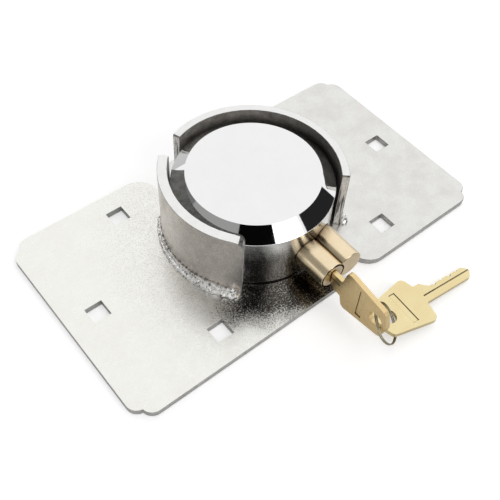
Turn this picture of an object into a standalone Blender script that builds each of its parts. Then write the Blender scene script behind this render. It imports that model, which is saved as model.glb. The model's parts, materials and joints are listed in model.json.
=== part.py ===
"""A puck lock in a two-part van door hasp, unlocked, with two keys on a ring.

The lock's axis is Z and the origin is where it meets the plates' underside.
The two plates lie along X and the lock's cylinder points along -Y.
"""
import math

import bmesh
import bpy
from mathutils import Matrix, Vector

MM = 0.001

# Clearances
SEAT = 0.3 * MM
RUNNING = 0.3 * MM
OVER = 1.0 * MM

# Hasp plates
PLATE_LENGTH = 196.0 * MM
PLATE_WIDTH = 106.0 * MM
PLATE_THICKNESS = 3.2 * MM
LOBE_RADIUS = 5.2 * MM
LOBE_END = 9.5 * MM
SEAM_EDGE_X = 24.0 * MM
SEAM_CORNER_RADIUS = 10.5 * MM
TONGUE_REACH = 16.2 * MM
TONGUE_CORNER_RADIUS = 8.0 * MM
SEAM_STEP_RADIUS = 2.5 * MM
SEAM_MIDDLE_Y = 3.0 * MM
SEAM_GAP = 1.6 * MM
SQUARE_HOLE = 8.3 * MM
INNER_HOLE_X = 48.0 * MM
HOLE_TO_LONG_EDGE = 14.0 * MM
HOLE_TO_SHORT_EDGE = 14.5 * MM

# Shroud walls
SHROUD_CLEARANCE = 2.0 * MM
LEFT_WALL_THICKNESS = 4.3 * MM
LEFT_WALL_TOP = 38.5 * MM
LEFT_WALL_SHIFT = 1.2 * MM
LEFT_WALL_START = math.radians(133.0)
LEFT_WALL_END = math.radians(224.0)
LEFT_WALL_CORNER = 4.0 * MM
RIGHT_WALL_THICKNESS = 3.5 * MM
RIGHT_WALL_TOP = 36.4 * MM
RIGHT_WALL_START = math.radians(-41.0)
RIGHT_WALL_END = math.radians(111.0)
RIGHT_WALL_CORNER = 1.0 * MM
WALL_EDGE = 0.5 * MM
WALL_STEPS = 24

# Weld beads
BEAD_WIDTH = 2.2 * MM
BEAD_RIPPLE = 0.35 * MM
BEAD_PITCH = 2.6 * MM
BEAD_FLANK = 0.85
BEAD_CROWN = 0.45
BEAD_END_SHARE = 0.5
BEAD_END_STEPS = 3
LEFT_BEAD_START = math.radians(140.0)
LEFT_BEAD_END = math.radians(224.0)
RIGHT_BEAD_START = math.radians(-41.0)
RIGHT_BEAD_END = math.radians(104.0)

# Locking eyes
EYE_WIDTH = 16.0 * MM
EYE_THICKNESS = 3.5 * MM
EYE_SETBACK = 0.5 * MM
EYE_TOP = 24.5 * MM
EYE_HOLE_RADIUS = 5.0 * MM
EYE_CROWN_EASE = 0.15 * MM

# Lock body
BODY_RADIUS = 36.5 * MM
BODY_TOP = 36.4 * MM
BODY_CHAMFER_HEIGHT = 5.5 * MM
BODY_CHAMFER_WIDTH = 6.5 * MM
BODY_FOOT_CHAMFER = 0.8 * MM
BODY_STEPS = 96
RECESS_ROOM_X = 1.2 * MM
RECESS_ROOM_Y = 1.2 * MM
RECESS_ROOM_Z = 1.5 * MM

# Cylinder
PLUG_X = 1.2 * MM
CYLINDER_Z = 16.5 * MM
BARREL_DISTANCE = 9.8 * MM
BARREL_RADIUS = 6.5 * MM
CYLINDER_OVERHANG = 16.5 * MM
BORE_END_WALL = 3.6 * MM
FACE_CHAMFER = 0.5 * MM

# Plug
PLUG_FACE_RADIUS = 5.6 * MM
PLUG_FACE_DEPTH = 1.2 * MM
PLUG_RADIUS = 4.7 * MM
KEYWAY_END_WALL = 0.7 * MM
TAIL_RADIUS = 3.0 * MM
TAIL_GROOVE = 0.8 * MM
WEB_THICKNESS = 1.0 * MM
CAVITY_RADIUS = 5.2 * MM
CLIP_THICKNESS = 0.7 * MM
CLIP_RADIUS = 4.3 * MM
CLIP_MOUTH = math.radians(70.0)

# Cam and latch bar
CAM_RADIUS = 3.6 * MM
CAM_THICKNESS = 0.8 * MM
CAM_PIN_RADIUS = 0.8 * MM
CAM_THROW = 1.6 * MM
CAM_SLACK = 0.45 * MM
LATCH_THICKNESS = 1.0 * MM
LATCH_HALF_WIDTH = 3.2 * MM
LATCH_NOSE_HALF_WIDTH = 2.0 * MM
LATCH_NOSE_LENGTH = 2.3 * MM
LATCH_SPRING_RADIUS = 0.75 * MM
LATCH_SPRING_BORE = 1.2 * MM
LATCH_SPRING_REACH = 9.0 * MM

# Bolt
BOLT_RADIUS = 4.5 * MM
BOLT_HEAD_THICKNESS = 2.0 * MM
BOLT_HEAD_SETBACK = 0.25 * MM
BOLT_TIP_CHAMFER = 0.8 * MM
BOLT_END_ROOM = 0.6 * MM

# Pins in the cylinder
PIN_COUNT = 4
PIN_PITCH = 4.6 * MM
FIRST_PIN_DEPTH = 3.4 * MM
PIN_RADIUS = 1.0 * MM
PIN_BORE = 1.25 * MM
PIN_TIP_RADIUS = 0.3 * MM
PIN_TIP_HEIGHT = 0.8 * MM
DRIVER_LENGTH = 3.2 * MM
CAP_THICKNESS = 1.2 * MM
PIN_SPRING_WIRE = 0.2 * MM
PIN_SPRING_TURNS = 4
PIN_SPRING_STEPS = 8

# Return spring and stop pin
RETURN_SPRING_X = 13.5 * MM
RETURN_SPRING_RADIUS = 1.75 * MM
RETURN_SPRING_WIRE = 0.4 * MM
RETURN_SPRING_BORE = 2.5 * MM
RETURN_POCKET_DEPTH = 6.0 * MM
RETURN_BORE_END = -1.0 * MM
RETURN_SPRING_TURNS = 8
STOP_PIN_RADIUS = 1.2 * MM
STOP_PIN_DEPTH = 23.0 * MM
STOP_SLOT_DEPTH = 2.0 * MM

# Key blank, with the blade's tip at zero
KEY_THICKNESS = 2.2 * MM
KEY_INSERTION = 23.4 * MM
BLADE_SPINE = 3.4 * MM
BLADE_EDGE = 2.8 * MM
BLADE_POINT = 3.2 * MM
BLADE_THICKNESS = 2.0 * MM
BLADE_CORNER_RADIUS = 0.8 * MM
BLADE_GROOVE_WIDTH = 0.7 * MM
BLADE_GROOVE_DEPTH = 0.5 * MM
SHOULDER_EASE = 0.2 * MM
SHOULDER_LENGTH = 3.2 * MM
SHOULDER_WIDTH = 6.2 * MM
NECK_LENGTH = 8.1 * MM
NECK_SLOPE = 1.6 * MM
BOW_HALF_WIDTH = 12.4 * MM
BOW_SIDE_LENGTH = 22.3 * MM
BOW_CORNER_RADIUS = 2.6 * MM
HEAD_HALF_WIDTH = 8.4 * MM
HEAD_CROWN = 2.6 * MM
KEY_HOLE_END_WALL = 2.9 * MM
KEY_HOLE_RADIUS = 3.6 * MM
BOW_BAND_TO_HOLE = 3.6 * MM
BOW_BAND_WIDTH = 3.2 * MM
BOW_BAND_HALF_LENGTH = 8.2 * MM
BOW_BAND_DEPTH = 0.4 * MM
CUT_DEPTHS = (0.9 * MM, 0.4 * MM, 1.1 * MM, 0.6 * MM)
CUT_FLAT = 1.1 * MM
CUT_FLANK = 0.6

# Split ring
RING_RADIUS = 9.05 * MM
RING_WIRE_RADIUS = 0.31 * MM
RING_PITCH = 0.72 * MM
RING_NORMAL = Vector((0.56, -0.5483, 0.6211))
RING_HOLE_SHIFT = 0.9 * MM
RING_HOLE_DROP = 0.4 * MM
RING_CARRY_ANGLE = math.radians(222.0)
RING_START = math.radians(40.0)
RING_GAP = math.radians(10.0)
RING_ACROSS = Vector((1.0, -0.453, -1.283))
RING_STEPS = 36

# Spare key as it lies on the ring
SPARE_HEADING = math.radians(-3.9)
SPARE_SLOPE = math.radians(3.9)
SPARE_HOLE_SHIFT_X = -2.4 * MM
SPARE_HOLE_SHIFT_Y = -0.6 * MM

# Facets
ROUND_SIDES = 40
BORE_SIDES = 28
DISC_SIDES = 24
POCKET_SIDES = 20
SMALL_SIDES = 16
PIN_SIDES = 12
ARC_STEP = math.radians(12.0)

# Places worked out from the sizes above
INNER_HOLE_Y = PLATE_WIDTH / 2 - HOLE_TO_LONG_EDGE
OUTER_HOLE_X = PLATE_LENGTH / 2 - HOLE_TO_SHORT_EDGE
SHROUD_INNER_RADIUS = BODY_RADIUS + SHROUD_CLEARANCE
DISC_RADIUS = BODY_RADIUS - BODY_CHAMFER_WIDTH
PIN_BARREL_X = PLUG_X + BARREL_DISTANCE
FLOOR_OF_LOCK = PLATE_THICKNESS + SEAT
LEFT_EDGE_Y = SEAM_MIDDLE_Y - SEAM_GAP / 2
RIGHT_EDGE_Y = SEAM_MIDDLE_Y + SEAM_GAP / 2
LEFT_EYE_Y = LEFT_EDGE_Y - EYE_SETBACK - EYE_THICKNESS / 2
RIGHT_EYE_Y = RIGHT_EDGE_Y + EYE_SETBACK + EYE_THICKNESS / 2
RECESS_FRONT_Y = LEFT_EYE_Y - EYE_THICKNESS / 2 - RECESS_ROOM_Y
RECESS_BACK_Y = RIGHT_EYE_Y + EYE_THICKNESS / 2 + RECESS_ROOM_Y
CYLINDER_FACE_Y = -BODY_RADIUS - CYLINDER_OVERHANG
KEY_TIP_Y = CYLINDER_FACE_Y + KEY_INSERTION
PLUG_BACK_Y = KEY_TIP_Y + SEAT + KEYWAY_END_WALL
WEB_FRONT_Y = PLUG_BACK_Y + RUNNING
WEB_BACK_Y = WEB_FRONT_Y + WEB_THICKNESS
CLIP_FRONT_Y = WEB_BACK_Y + RUNNING
CLIP_BACK_Y = CLIP_FRONT_Y + CLIP_THICKNESS
CAM_FRONT_Y = CLIP_BACK_Y + RUNNING
CAM_BACK_Y = CAM_FRONT_Y + CAM_THICKNESS
LATCH_FRONT_Y = CAM_BACK_Y + RUNNING
LATCH_BACK_Y = LATCH_FRONT_Y + LATCH_THICKNESS
LATCH_Y = (LATCH_FRONT_Y + LATCH_BACK_Y) / 2
BOLT_HEAD_Y = LATCH_BACK_Y + LATCH_SPRING_RADIUS
BOLT_TIP_Y = RECESS_FRONT_Y - SEAT
CYLINDER_BACK_Y = BOLT_HEAD_Y + BOLT_HEAD_THICKNESS + BOLT_HEAD_SETBACK
BORE_END_Y = RECESS_FRONT_Y - BORE_END_WALL
TRAVEL = BORE_END_Y - RUNNING - CYLINDER_BACK_Y
STOP_PIN_Y = CYLINDER_FACE_Y + STOP_PIN_DEPTH
PIN_YS = [CYLINDER_FACE_Y + FIRST_PIN_DEPTH + i * PIN_PITCH for i in range(PIN_COUNT)]
SHOULDER_START = KEY_INSERTION - SHOULDER_EASE
SHOULDER_STEP = KEY_INSERTION + SHOULDER_LENGTH
BOW_START = KEY_INSERTION + NECK_LENGTH
HEAD_CORNER = BOW_START + BOW_SIDE_LENGTH
KEY_LENGTH = HEAD_CORNER + HEAD_CROWN
KEY_HOLE_PLACE = KEY_LENGTH - KEY_HOLE_END_WALL - KEY_HOLE_RADIUS
BOW_BAND_END = KEY_HOLE_PLACE - KEY_HOLE_RADIUS - BOW_BAND_TO_HOLE

# Finishes: colour, metallic, roughness
ZINC = ((0.80, 0.80, 0.77), 0.9, 0.38)
WELD = ((0.50, 0.49, 0.46), 0.9, 0.60)
POLISHED = ((0.83, 0.83, 0.82), 1.0, 0.08)
STEEL = ((0.55, 0.55, 0.55), 1.0, 0.35)
SPRING_STEEL = ((0.42, 0.42, 0.43), 1.0, 0.30)
BRASS = ((0.80, 0.62, 0.30), 1.0, 0.28)
PALE_BRASS = ((0.82, 0.68, 0.40), 1.0, 0.30)
DULL_BRASS = ((0.58, 0.50, 0.32), 1.0, 0.40)
DARK_STEEL = ((0.24, 0.22, 0.18), 1.0, 0.35)


def clear_scene():
    """Remove every object that the scene starts with."""
    for obj in list(bpy.data.objects):
        bpy.data.objects.remove(obj, do_unlink=True)


def make_collection(name, hidden=False):
    collection = bpy.data.collections.new(name)
    bpy.context.scene.collection.children.link(collection)
    collection.hide_render = hidden
    return collection


clear_scene()
PARTS = make_collection("van_lock")
CUTTERS = make_collection("cutters", hidden=True)


# Objects and materials
def add_object(name, mesh, collection=None):
    obj = bpy.data.objects.new(name, mesh)
    (collection or PARTS).objects.link(obj)
    return obj


def finish(obj, look):
    """Give the object a material of its own."""
    colour, metallic, roughness = look
    material = bpy.data.materials.new(obj.name + "_finish")
    material.use_nodes = True
    shader = material.node_tree.nodes["Principled BSDF"]
    shader.inputs["Base Color"].default_value = (*colour, 1.0)
    shader.inputs["Metallic"].default_value = metallic
    shader.inputs["Roughness"].default_value = roughness
    obj.data.materials.append(material)
    return obj


def smooth(obj):
    """Shade the round faces smooth and keep the edges crisp."""
    obj.data.shade_smooth()
    obj.data.set_sharp_from_angle(angle=math.radians(32.0))
    return obj


def move_origin(obj, point):
    """Put the object's origin at a point and leave its shape where it is."""
    obj.data.transform(Matrix.Translation(-Vector(point)) @ obj.matrix_basis)
    obj.matrix_basis = Matrix.Translation(Vector(point))
    return obj


def as_mesh(obj):
    """Turn a curve object into a mesh object whose caps are welded on."""
    bpy.context.view_layer.update()
    depsgraph = bpy.context.evaluated_depsgraph_get()
    mesh = bpy.data.meshes.new_from_object(obj.evaluated_get(depsgraph))
    form = bmesh.new()
    form.from_mesh(mesh)
    bmesh.ops.remove_doubles(form, verts=form.verts, dist=0.000002)
    bmesh.ops.recalc_face_normals(form, faces=form.faces)
    form.to_mesh(mesh)
    form.free()
    solid = add_object(obj.name + "_solid", mesh, obj.users_collection[0])
    solid.matrix_world = obj.matrix_world
    name = obj.name
    curve = obj.data
    bpy.data.objects.remove(obj, do_unlink=True)
    bpy.data.curves.remove(curve)
    solid.name = name
    mesh.name = name
    return solid


# Outlines
def arc(centre, radius, start, end, step=ARC_STEP):
    """Points along an arc, both ends among them."""
    count = max(2, math.ceil(abs(end - start) / step))
    angles = [start + (end - start) * i / count for i in range(count + 1)]
    return [(centre[0] + radius * math.cos(a), centre[1] + radius * math.sin(a)) for a in angles]


def circle(centre, radius, sides=ROUND_SIDES):
    points = arc(centre, radius, 0.0, math.tau, math.tau / sides)
    return points[:-1]


def box_loop(x0, x1, y0, y1):
    return [(x0, y0), (x1, y0), (x1, y1), (x0, y1)]


def rounded(corners):
    """Close an outline through corners (x, y, radius) and round each by its radius."""
    points = []
    for i, (x, y, radius) in enumerate(corners):
        here = Vector((x, y))
        if radius <= 0.0:
            points.append((x, y))
            continue
        before = (Vector(corners[i - 1][:2]) - here).normalized()
        after = (Vector(corners[(i + 1) % len(corners)][:2]) - here).normalized()
        half = before.angle(after) / 2
        reach = radius / math.tan(half)
        centre = here + (before + after).normalized() * (radius / math.sin(half))
        first = here + before * reach - centre
        turn = math.pi - 2 * half
        side = math.copysign(1.0, before.x * after.y - before.y * after.x)
        start = math.atan2(first.y, first.x)
        points += arc(centre, radius, start, start - side * turn)
    return points


def slab(name, loops, thickness, frame=None, collection=None):
    """A flat outline with its holes, given its thickness about the outline's plane."""
    curve = bpy.data.curves.new(name, "CURVE")
    curve.dimensions = "2D"
    curve.fill_mode = "BOTH"
    curve.extrude = thickness / 2
    for loop in loops:
        spline = curve.splines.new("POLY")
        spline.points.add(len(loop) - 1)
        for point, (x, y) in zip(spline.points, loop):
            point.co = (x, y, 0.0, 1.0)
        spline.use_cyclic_u = True
    obj = add_object(name, curve, collection)
    obj.matrix_world = frame or Matrix.Identity(4)
    return as_mesh(obj)


def flat_frame(z):
    """Local x and y stay X and Y, at the height z."""
    return Matrix.Translation((0.0, 0.0, z))


def upright_frame(y):
    """Local x and y become X and Z, at the place y."""
    return Matrix.Translation((0.0, y, 0.0)) @ Matrix.Rotation(math.pi / 2, 4, "X")


# Solids
def rod(name, start, end, radius, sides=SMALL_SIDES, end_radius=None, collection=None):
    """A round rod or cone between two points."""
    start, end = Vector(start), Vector(end)
    form = bmesh.new()
    bmesh.ops.create_cone(
        form,
        cap_ends=True,
        segments=sides,
        radius1=radius,
        radius2=radius if end_radius is None else end_radius,
        depth=(end - start).length,
    )
    mesh = bpy.data.meshes.new(name)
    form.to_mesh(mesh)
    form.free()
    obj = add_object(name, mesh, collection)
    turn = (end - start).to_track_quat("Z", "X").to_matrix().to_4x4()
    obj.matrix_world = Matrix.Translation((start + end) / 2) @ turn
    return smooth(obj)


def block(name, low, high, collection=None):
    """A box between two corners."""
    low, high = Vector(low), Vector(high)
    form = bmesh.new()
    bmesh.ops.create_cube(form, size=1.0)
    bmesh.ops.scale(form, vec=high - low, verts=form.verts)
    bmesh.ops.translate(form, vec=(low + high) / 2, verts=form.verts)
    mesh = bpy.data.meshes.new(name)
    form.to_mesh(mesh)
    form.free()
    return add_object(name, mesh, collection)


def turned(name, profile, frame, steps=ROUND_SIDES, collection=None):
    """Turn a profile of (radius, height), outer side from top to bottom, about local Z."""
    mesh = bpy.data.meshes.new(name)
    points = [(radius, 0.0, height) for radius, height in profile]
    edges = [(i, i + 1) for i in range(len(points) - 1)]
    mesh.from_pydata(points, edges, [])
    obj = add_object(name, mesh, collection)
    obj.matrix_world = frame
    screw = obj.modifiers.new("turn", "SCREW")
    screw.steps = steps
    screw.render_steps = steps
    screw.use_merge_vertices = True
    screw.merge_threshold = 0.00001
    screw.use_smooth_shade = False
    return obj


def along_cylinder():
    """Local Z points out of the lock along the plug's axis, so a height is minus Y."""
    return Matrix.Translation((PLUG_X, 0.0, CYLINDER_Z)) @ Matrix.Rotation(math.pi / 2, 4, "X")


def coil(name, start, end, radius, wire, turns, points_per_turn=10):
    """A spring of round wire between two points, with its ends inside them."""
    start, end = Vector(start), Vector(end)
    length = (end - start).length
    curve = bpy.data.curves.new(name, "CURVE")
    curve.dimensions = "3D"
    curve.bevel_depth = wire
    curve.bevel_resolution = 1
    curve.use_fill_caps = True
    count = turns * points_per_turn
    spline = curve.splines.new("POLY")
    spline.points.add(count)
    for i, point in enumerate(spline.points):
        share = i / count
        angle = math.tau * turns * share
        height = wire + (length - 2 * wire) * share
        point.co = (radius * math.cos(angle), radius * math.sin(angle), height, 1.0)
    obj = add_object(name, curve)
    turn = (end - start).to_track_quat("Z", "X").to_matrix().to_4x4()
    obj.matrix_world = Matrix.Translation(start) @ turn
    return as_mesh(obj)


def loft(name, rings, collection=None):
    """A closed solid through rings of points, capped at both ends."""
    form = bmesh.new()
    rows = [[form.verts.new(point) for point in ring] for ring in rings]
    for low, high in zip(rows, rows[1:]):
        for i in range(len(low)):
            j = (i + 1) % len(low)
            form.faces.new((low[i], low[j], high[j], high[i]))
    form.faces.new(list(reversed(rows[0])))
    form.faces.new(rows[-1])
    bmesh.ops.recalc_face_normals(form, faces=form.faces)
    mesh = bpy.data.meshes.new(name)
    form.to_mesh(mesh)
    form.free()
    return smooth(add_object(name, mesh, collection))


# Modifiers
def combine(obj, tool, operation="DIFFERENCE"):
    """Cut a tool out of the object, or join it on."""
    if tool.name not in CUTTERS.objects:
        for collection in list(tool.users_collection):
            collection.objects.unlink(tool)
        CUTTERS.objects.link(tool)
    tool.hide_render = True
    tool.display_type = "WIRE"
    modifier = obj.modifiers.new(tool.name, "BOOLEAN")
    modifier.operation = operation
    modifier.solver = "EXACT"
    modifier.object = tool
    return obj


def soften(obj, width, segments=1, angle=40.0):
    """Break the edges that are sharper than the angle."""
    modifier = obj.modifiers.new("soft_edges", "BEVEL")
    modifier.width = width
    modifier.segments = segments
    modifier.limit_method = "ANGLE"
    modifier.angle_limit = math.radians(angle)
    modifier.use_clamp_overlap = True
    return obj


# Hasp
def lobed_corner(corner, sign_x, sign_y):
    """A corner cut back into two round lobes with a notch between, anticlockwise."""
    reach = LOBE_RADIUS + LOBE_END
    notch = (reach - math.sqrt(reach ** 2 - 2 * LOBE_END ** 2)) / 2
    end = math.atan2(notch - LOBE_END, notch - LOBE_RADIUS) + math.tau
    lobe = arc((LOBE_RADIUS, LOBE_END), LOBE_RADIUS, math.pi, end, ARC_STEP)
    offsets = lobe + [(y, x) for x, y in reversed(lobe[:-1])]
    if sign_x * sign_y < 0:
        offsets.reverse()
    return [(corner[0] - sign_x * x, corner[1] - sign_y * y, 0.0) for x, y in offsets]


def plate_outline(step_y):
    """Outline of the left plate, whose front tongue ends at the seam's step."""
    outer_x = -PLATE_LENGTH / 2
    side_y = PLATE_WIDTH / 2
    corners = lobed_corner((outer_x, -side_y), -1, -1)
    corners += [
        (TONGUE_REACH, -side_y, TONGUE_CORNER_RADIUS),
        (TONGUE_REACH, step_y, SEAM_STEP_RADIUS),
        (-SEAM_EDGE_X, step_y, SEAM_STEP_RADIUS),
        (-SEAM_EDGE_X, side_y, SEAM_CORNER_RADIUS),
    ]
    corners += lobed_corner((outer_x, side_y), -1, 1)
    return rounded(corners)


def square_hole(x, y):
    half = SQUARE_HOLE / 2
    return box_loop(x - half, x + half, y - half, y + half)


def hasp_plate(name, step_y, side):
    """One plate of the hasp: side is -1 for the left one and 1 for the right one."""
    outline = plate_outline(step_y if side < 0 else -step_y)
    loops = [[(-side * x, -side * y) for x, y in outline]]
    loops.append(square_hole(side * INNER_HOLE_X, INNER_HOLE_Y))
    loops.append(square_hole(side * INNER_HOLE_X, -INNER_HOLE_Y))
    loops.append(square_hole(side * OUTER_HOLE_X, 0.0))
    plate = slab(name, loops, PLATE_THICKNESS, flat_frame(PLATE_THICKNESS / 2))
    return finish(smooth(plate), ZINC)


def shroud_wall(name, centre_x, thickness, top, start, end, start_corner, end_corner):
    """A strip bent to an arc, with its top corners rounded, standing on its plate."""
    radius = SHROUD_INNER_RADIUS
    corner_turns = [math.radians(angle) for angle in (0.0, 30.0, 60.0, 90.0)]
    first = [start_corner * (1 - math.cos(a)) for a in corner_turns]
    last = [end_corner * (1 - math.cos(a)) for a in reversed(corner_turns)]
    length = radius * (end - start)
    inner_length = length - start_corner - end_corner
    middle = [start_corner + inner_length * i / WALL_STEPS for i in range(1, WALL_STEPS)]
    places = first + middle + [length - distance for distance in last]
    form = bmesh.new()
    half_grid = 1.0
    bmesh.ops.create_grid(form, x_segments=len(places) - 1, y_segments=1, size=half_grid)
    for vert in form.verts:
        column = round((vert.co.x / half_grid + 1.0) / 2 * (len(places) - 1))
        place = places[column]
        height = top
        for distance, corner in ((place, start_corner), (length - place, end_corner)):
            if distance < corner:
                height = top - corner + math.sqrt(corner ** 2 - (corner - distance) ** 2)
        angle = start + place / radius
        z = height if vert.co.y > 0 else FLOOR_OF_LOCK
        vert.co = (centre_x + radius * math.cos(angle), radius * math.sin(angle), z)
    bmesh.ops.recalc_face_normals(form, faces=form.faces)
    outward = form.faces[:][0]
    middle_of_face = outward.calc_center_median() - Vector((centre_x, 0.0, 0.0))
    middle_of_face.z = 0.0
    if outward.normal.dot(middle_of_face) < 0:
        bmesh.ops.reverse_faces(form, faces=form.faces)
    mesh = bpy.data.meshes.new(name)
    form.to_mesh(mesh)
    form.free()
    obj = add_object(name, mesh)
    shell = obj.modifiers.new("thickness", "SOLIDIFY")
    shell.thickness = thickness
    shell.offset = 1.0
    shell.use_even_offset = True
    soften(obj, WALL_EDGE, 2, 50.0)
    return finish(smooth(obj), ZINC)


def weld_bead(name, centre_x, wall_radius, start, end):
    """A rippled fillet along the outer foot of a wall."""
    root = wall_radius + SEAT
    floor = PLATE_THICKNESS + SEAT
    count = max(2, round(root * (end - start) / (BEAD_PITCH / 2)))
    rings = []
    for i in range(count + 1):
        angle = start + (end - start) * i / count
        swell = BEAD_RIPPLE * math.cos(math.pi * i)
        taper = min(1.0, BEAD_END_SHARE + min(i, count - i) / BEAD_END_STEPS)
        width = (BEAD_WIDTH + swell) * taper
        flank, crown = width * BEAD_FLANK, width * BEAD_CROWN
        section = [(0.0, 0.0), (width, 0.0), (flank, crown), (crown, flank), (0.0, width)]
        ring = []
        for out, up in section:
            reach = root + out
            x = centre_x + reach * math.cos(angle)
            ring.append((x, reach * math.sin(angle), floor + up))
        rings.append(ring)
    return finish(loft(name, rings), WELD)


def locking_eye(name, y):
    """The eye that stands on a plate's tongue and takes the bolt."""
    half = EYE_WIDTH / 2
    crown = min(half, EYE_TOP - CYLINDER_Z) - EYE_CROWN_EASE
    corners = [
        (PLUG_X - half, FLOOR_OF_LOCK, 0.0),
        (PLUG_X + half, FLOOR_OF_LOCK, 0.0),
        (PLUG_X + half, EYE_TOP, crown),
        (PLUG_X - half, EYE_TOP, crown),
    ]
    loops = [rounded(corners), circle((PLUG_X, CYLINDER_Z), EYE_HOLE_RADIUS, BORE_SIDES)]
    eye = slab(name, loops, EYE_THICKNESS, upright_frame(y))
    return finish(smooth(eye), ZINC)


def make_hasp():
    hasp_plate("hasp_plate_left", LEFT_EDGE_Y, -1)
    hasp_plate("hasp_plate_right", RIGHT_EDGE_Y, 1)
    shroud_wall(
        "shroud_left", LEFT_WALL_SHIFT, LEFT_WALL_THICKNESS, LEFT_WALL_TOP,
        LEFT_WALL_START, LEFT_WALL_END, RIGHT_WALL_CORNER, LEFT_WALL_CORNER,
    )
    shroud_wall(
        "shroud_right", 0.0, RIGHT_WALL_THICKNESS, RIGHT_WALL_TOP,
        RIGHT_WALL_START, RIGHT_WALL_END, RIGHT_WALL_CORNER, RIGHT_WALL_CORNER,
    )
    left_outside = SHROUD_INNER_RADIUS + LEFT_WALL_THICKNESS
    weld_bead("weld_bead_left", LEFT_WALL_SHIFT, left_outside, LEFT_BEAD_START, LEFT_BEAD_END)
    right_outside = SHROUD_INNER_RADIUS + RIGHT_WALL_THICKNESS
    weld_bead("weld_bead_right", 0.0, right_outside, RIGHT_BEAD_START, RIGHT_BEAD_END)
    locking_eye("staple_left", LEFT_EYE_Y)
    locking_eye("staple_right", RIGHT_EYE_Y)


# Cylinder outlines
def two_barrels(radius):
    """Outline of two barrels side by side, in X and Z."""
    spread = math.acos(BARREL_DISTANCE / 2 / radius)
    left = arc((PLUG_X, CYLINDER_Z), radius, spread, math.tau - spread, math.tau / ROUND_SIDES)
    right = arc(
        (PIN_BARREL_X, CYLINDER_Z), radius, math.pi + spread, 3 * math.pi - spread,
        math.tau / ROUND_SIDES,
    )
    return left + right[1:-1]


def bar_between(name, y0, y1, outline, collection=None):
    """An outline in X and Z drawn out from y0 to y1."""
    return slab(name, [outline], y1 - y0, upright_frame((y0 + y1) / 2), collection)


def make_lock_body():
    """The turned puck with its recess, its cylinder bore and its small bores."""
    shoulder = BODY_TOP - BODY_CHAMFER_HEIGHT
    profile = [
        (0.0, BODY_TOP),
        (DISC_RADIUS, BODY_TOP),
        (BODY_RADIUS, shoulder),
        (BODY_RADIUS, FLOOR_OF_LOCK + BODY_FOOT_CHAMFER),
        (BODY_RADIUS - BODY_FOOT_CHAMFER, FLOOR_OF_LOCK),
        (0.0, FLOOR_OF_LOCK),
    ]
    body = turned("lock_body", profile, Matrix.Identity(4), BODY_STEPS)
    half = EYE_WIDTH / 2 + RECESS_ROOM_X
    recess = block(
        "recess_cutter",
        (PLUG_X - half, RECESS_FRONT_Y, FLOOR_OF_LOCK - OVER),
        (PLUG_X + half, RECESS_BACK_Y, EYE_TOP + RECESS_ROOM_Z),
        CUTTERS,
    )
    combine(body, recess)
    bore = bar_between(
        "cylinder_bore_cutter", -BODY_RADIUS - OVER, BORE_END_Y,
        two_barrels(BARREL_RADIUS + RUNNING), CUTTERS,
    )
    combine(body, bore)
    bolt_y = RECESS_BACK_Y + TRAVEL - (RECESS_BACK_Y - BOLT_TIP_Y) + BOLT_END_ROOM
    guide = rod(
        "bolt_guide_cutter",
        (PLUG_X, BORE_END_Y - OVER, CYLINDER_Z),
        (PLUG_X, bolt_y, CYLINDER_Z),
        BOLT_RADIUS + RUNNING, BORE_SIDES, collection=CUTTERS,
    )
    combine(body, guide)
    spring_bore = rod(
        "return_bore_cutter",
        (RETURN_SPRING_X, BORE_END_Y - OVER, CYLINDER_Z),
        (RETURN_SPRING_X, RETURN_BORE_END, CYLINDER_Z),
        RETURN_SPRING_BORE, POCKET_SIDES, collection=CUTTERS,
    )
    combine(body, spring_bore)
    stop_bore = rod(
        "stop_bore_cutter",
        (PIN_BARREL_X, STOP_PIN_Y, FLOOR_OF_LOCK - OVER),
        (PIN_BARREL_X, STOP_PIN_Y, CYLINDER_Z - BARREL_RADIUS + STOP_SLOT_DEPTH),
        STOP_PIN_RADIUS + SEAT, collection=CUTTERS,
    )
    combine(body, stop_bore)
    groove_x = PLUG_X + latch_tip() - CAM_THROW - RUNNING
    for name, shift in (("groove_out_cutter", 0.0), ("groove_in_cutter", TRAVEL)):
        groove = block(
            name,
            (groove_x, LATCH_FRONT_Y - RUNNING + shift, CYLINDER_Z - LATCH_HALF_WIDTH - SEAT),
            (PLUG_X, LATCH_BACK_Y + RUNNING + shift, CYLINDER_Z + LATCH_HALF_WIDTH + SEAT),
            CUTTERS,
        )
        combine(body, groove)
    return finish(body, POLISHED)


def latch_tip():
    """How far the drawn latch bar reaches from the plug's axis: it stays inside the barrel."""
    reach = BARREL_RADIUS ** 2 - LATCH_NOSE_HALF_WIDTH ** 2
    return -math.sqrt(reach)


def make_stop_pin():
    pin = rod(
        "stop_pin",
        (PIN_BARREL_X, STOP_PIN_Y, FLOOR_OF_LOCK + SEAT),
        (PIN_BARREL_X, STOP_PIN_Y, CYLINDER_Z - BARREL_RADIUS + STOP_SLOT_DEPTH - SEAT),
        STOP_PIN_RADIUS,
    )
    return finish(pin, STEEL)


def make_return_spring():
    spring = coil(
        "return_spring",
        (RETURN_SPRING_X, CYLINDER_BACK_Y - RETURN_POCKET_DEPTH + SEAT, CYLINDER_Z),
        (RETURN_SPRING_X, RETURN_BORE_END - SEAT, CYLINDER_Z),
        RETURN_SPRING_RADIUS, RETURN_SPRING_WIRE, RETURN_SPRING_TURNS,
    )
    return finish(smooth(spring), SPRING_STEEL)


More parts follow.
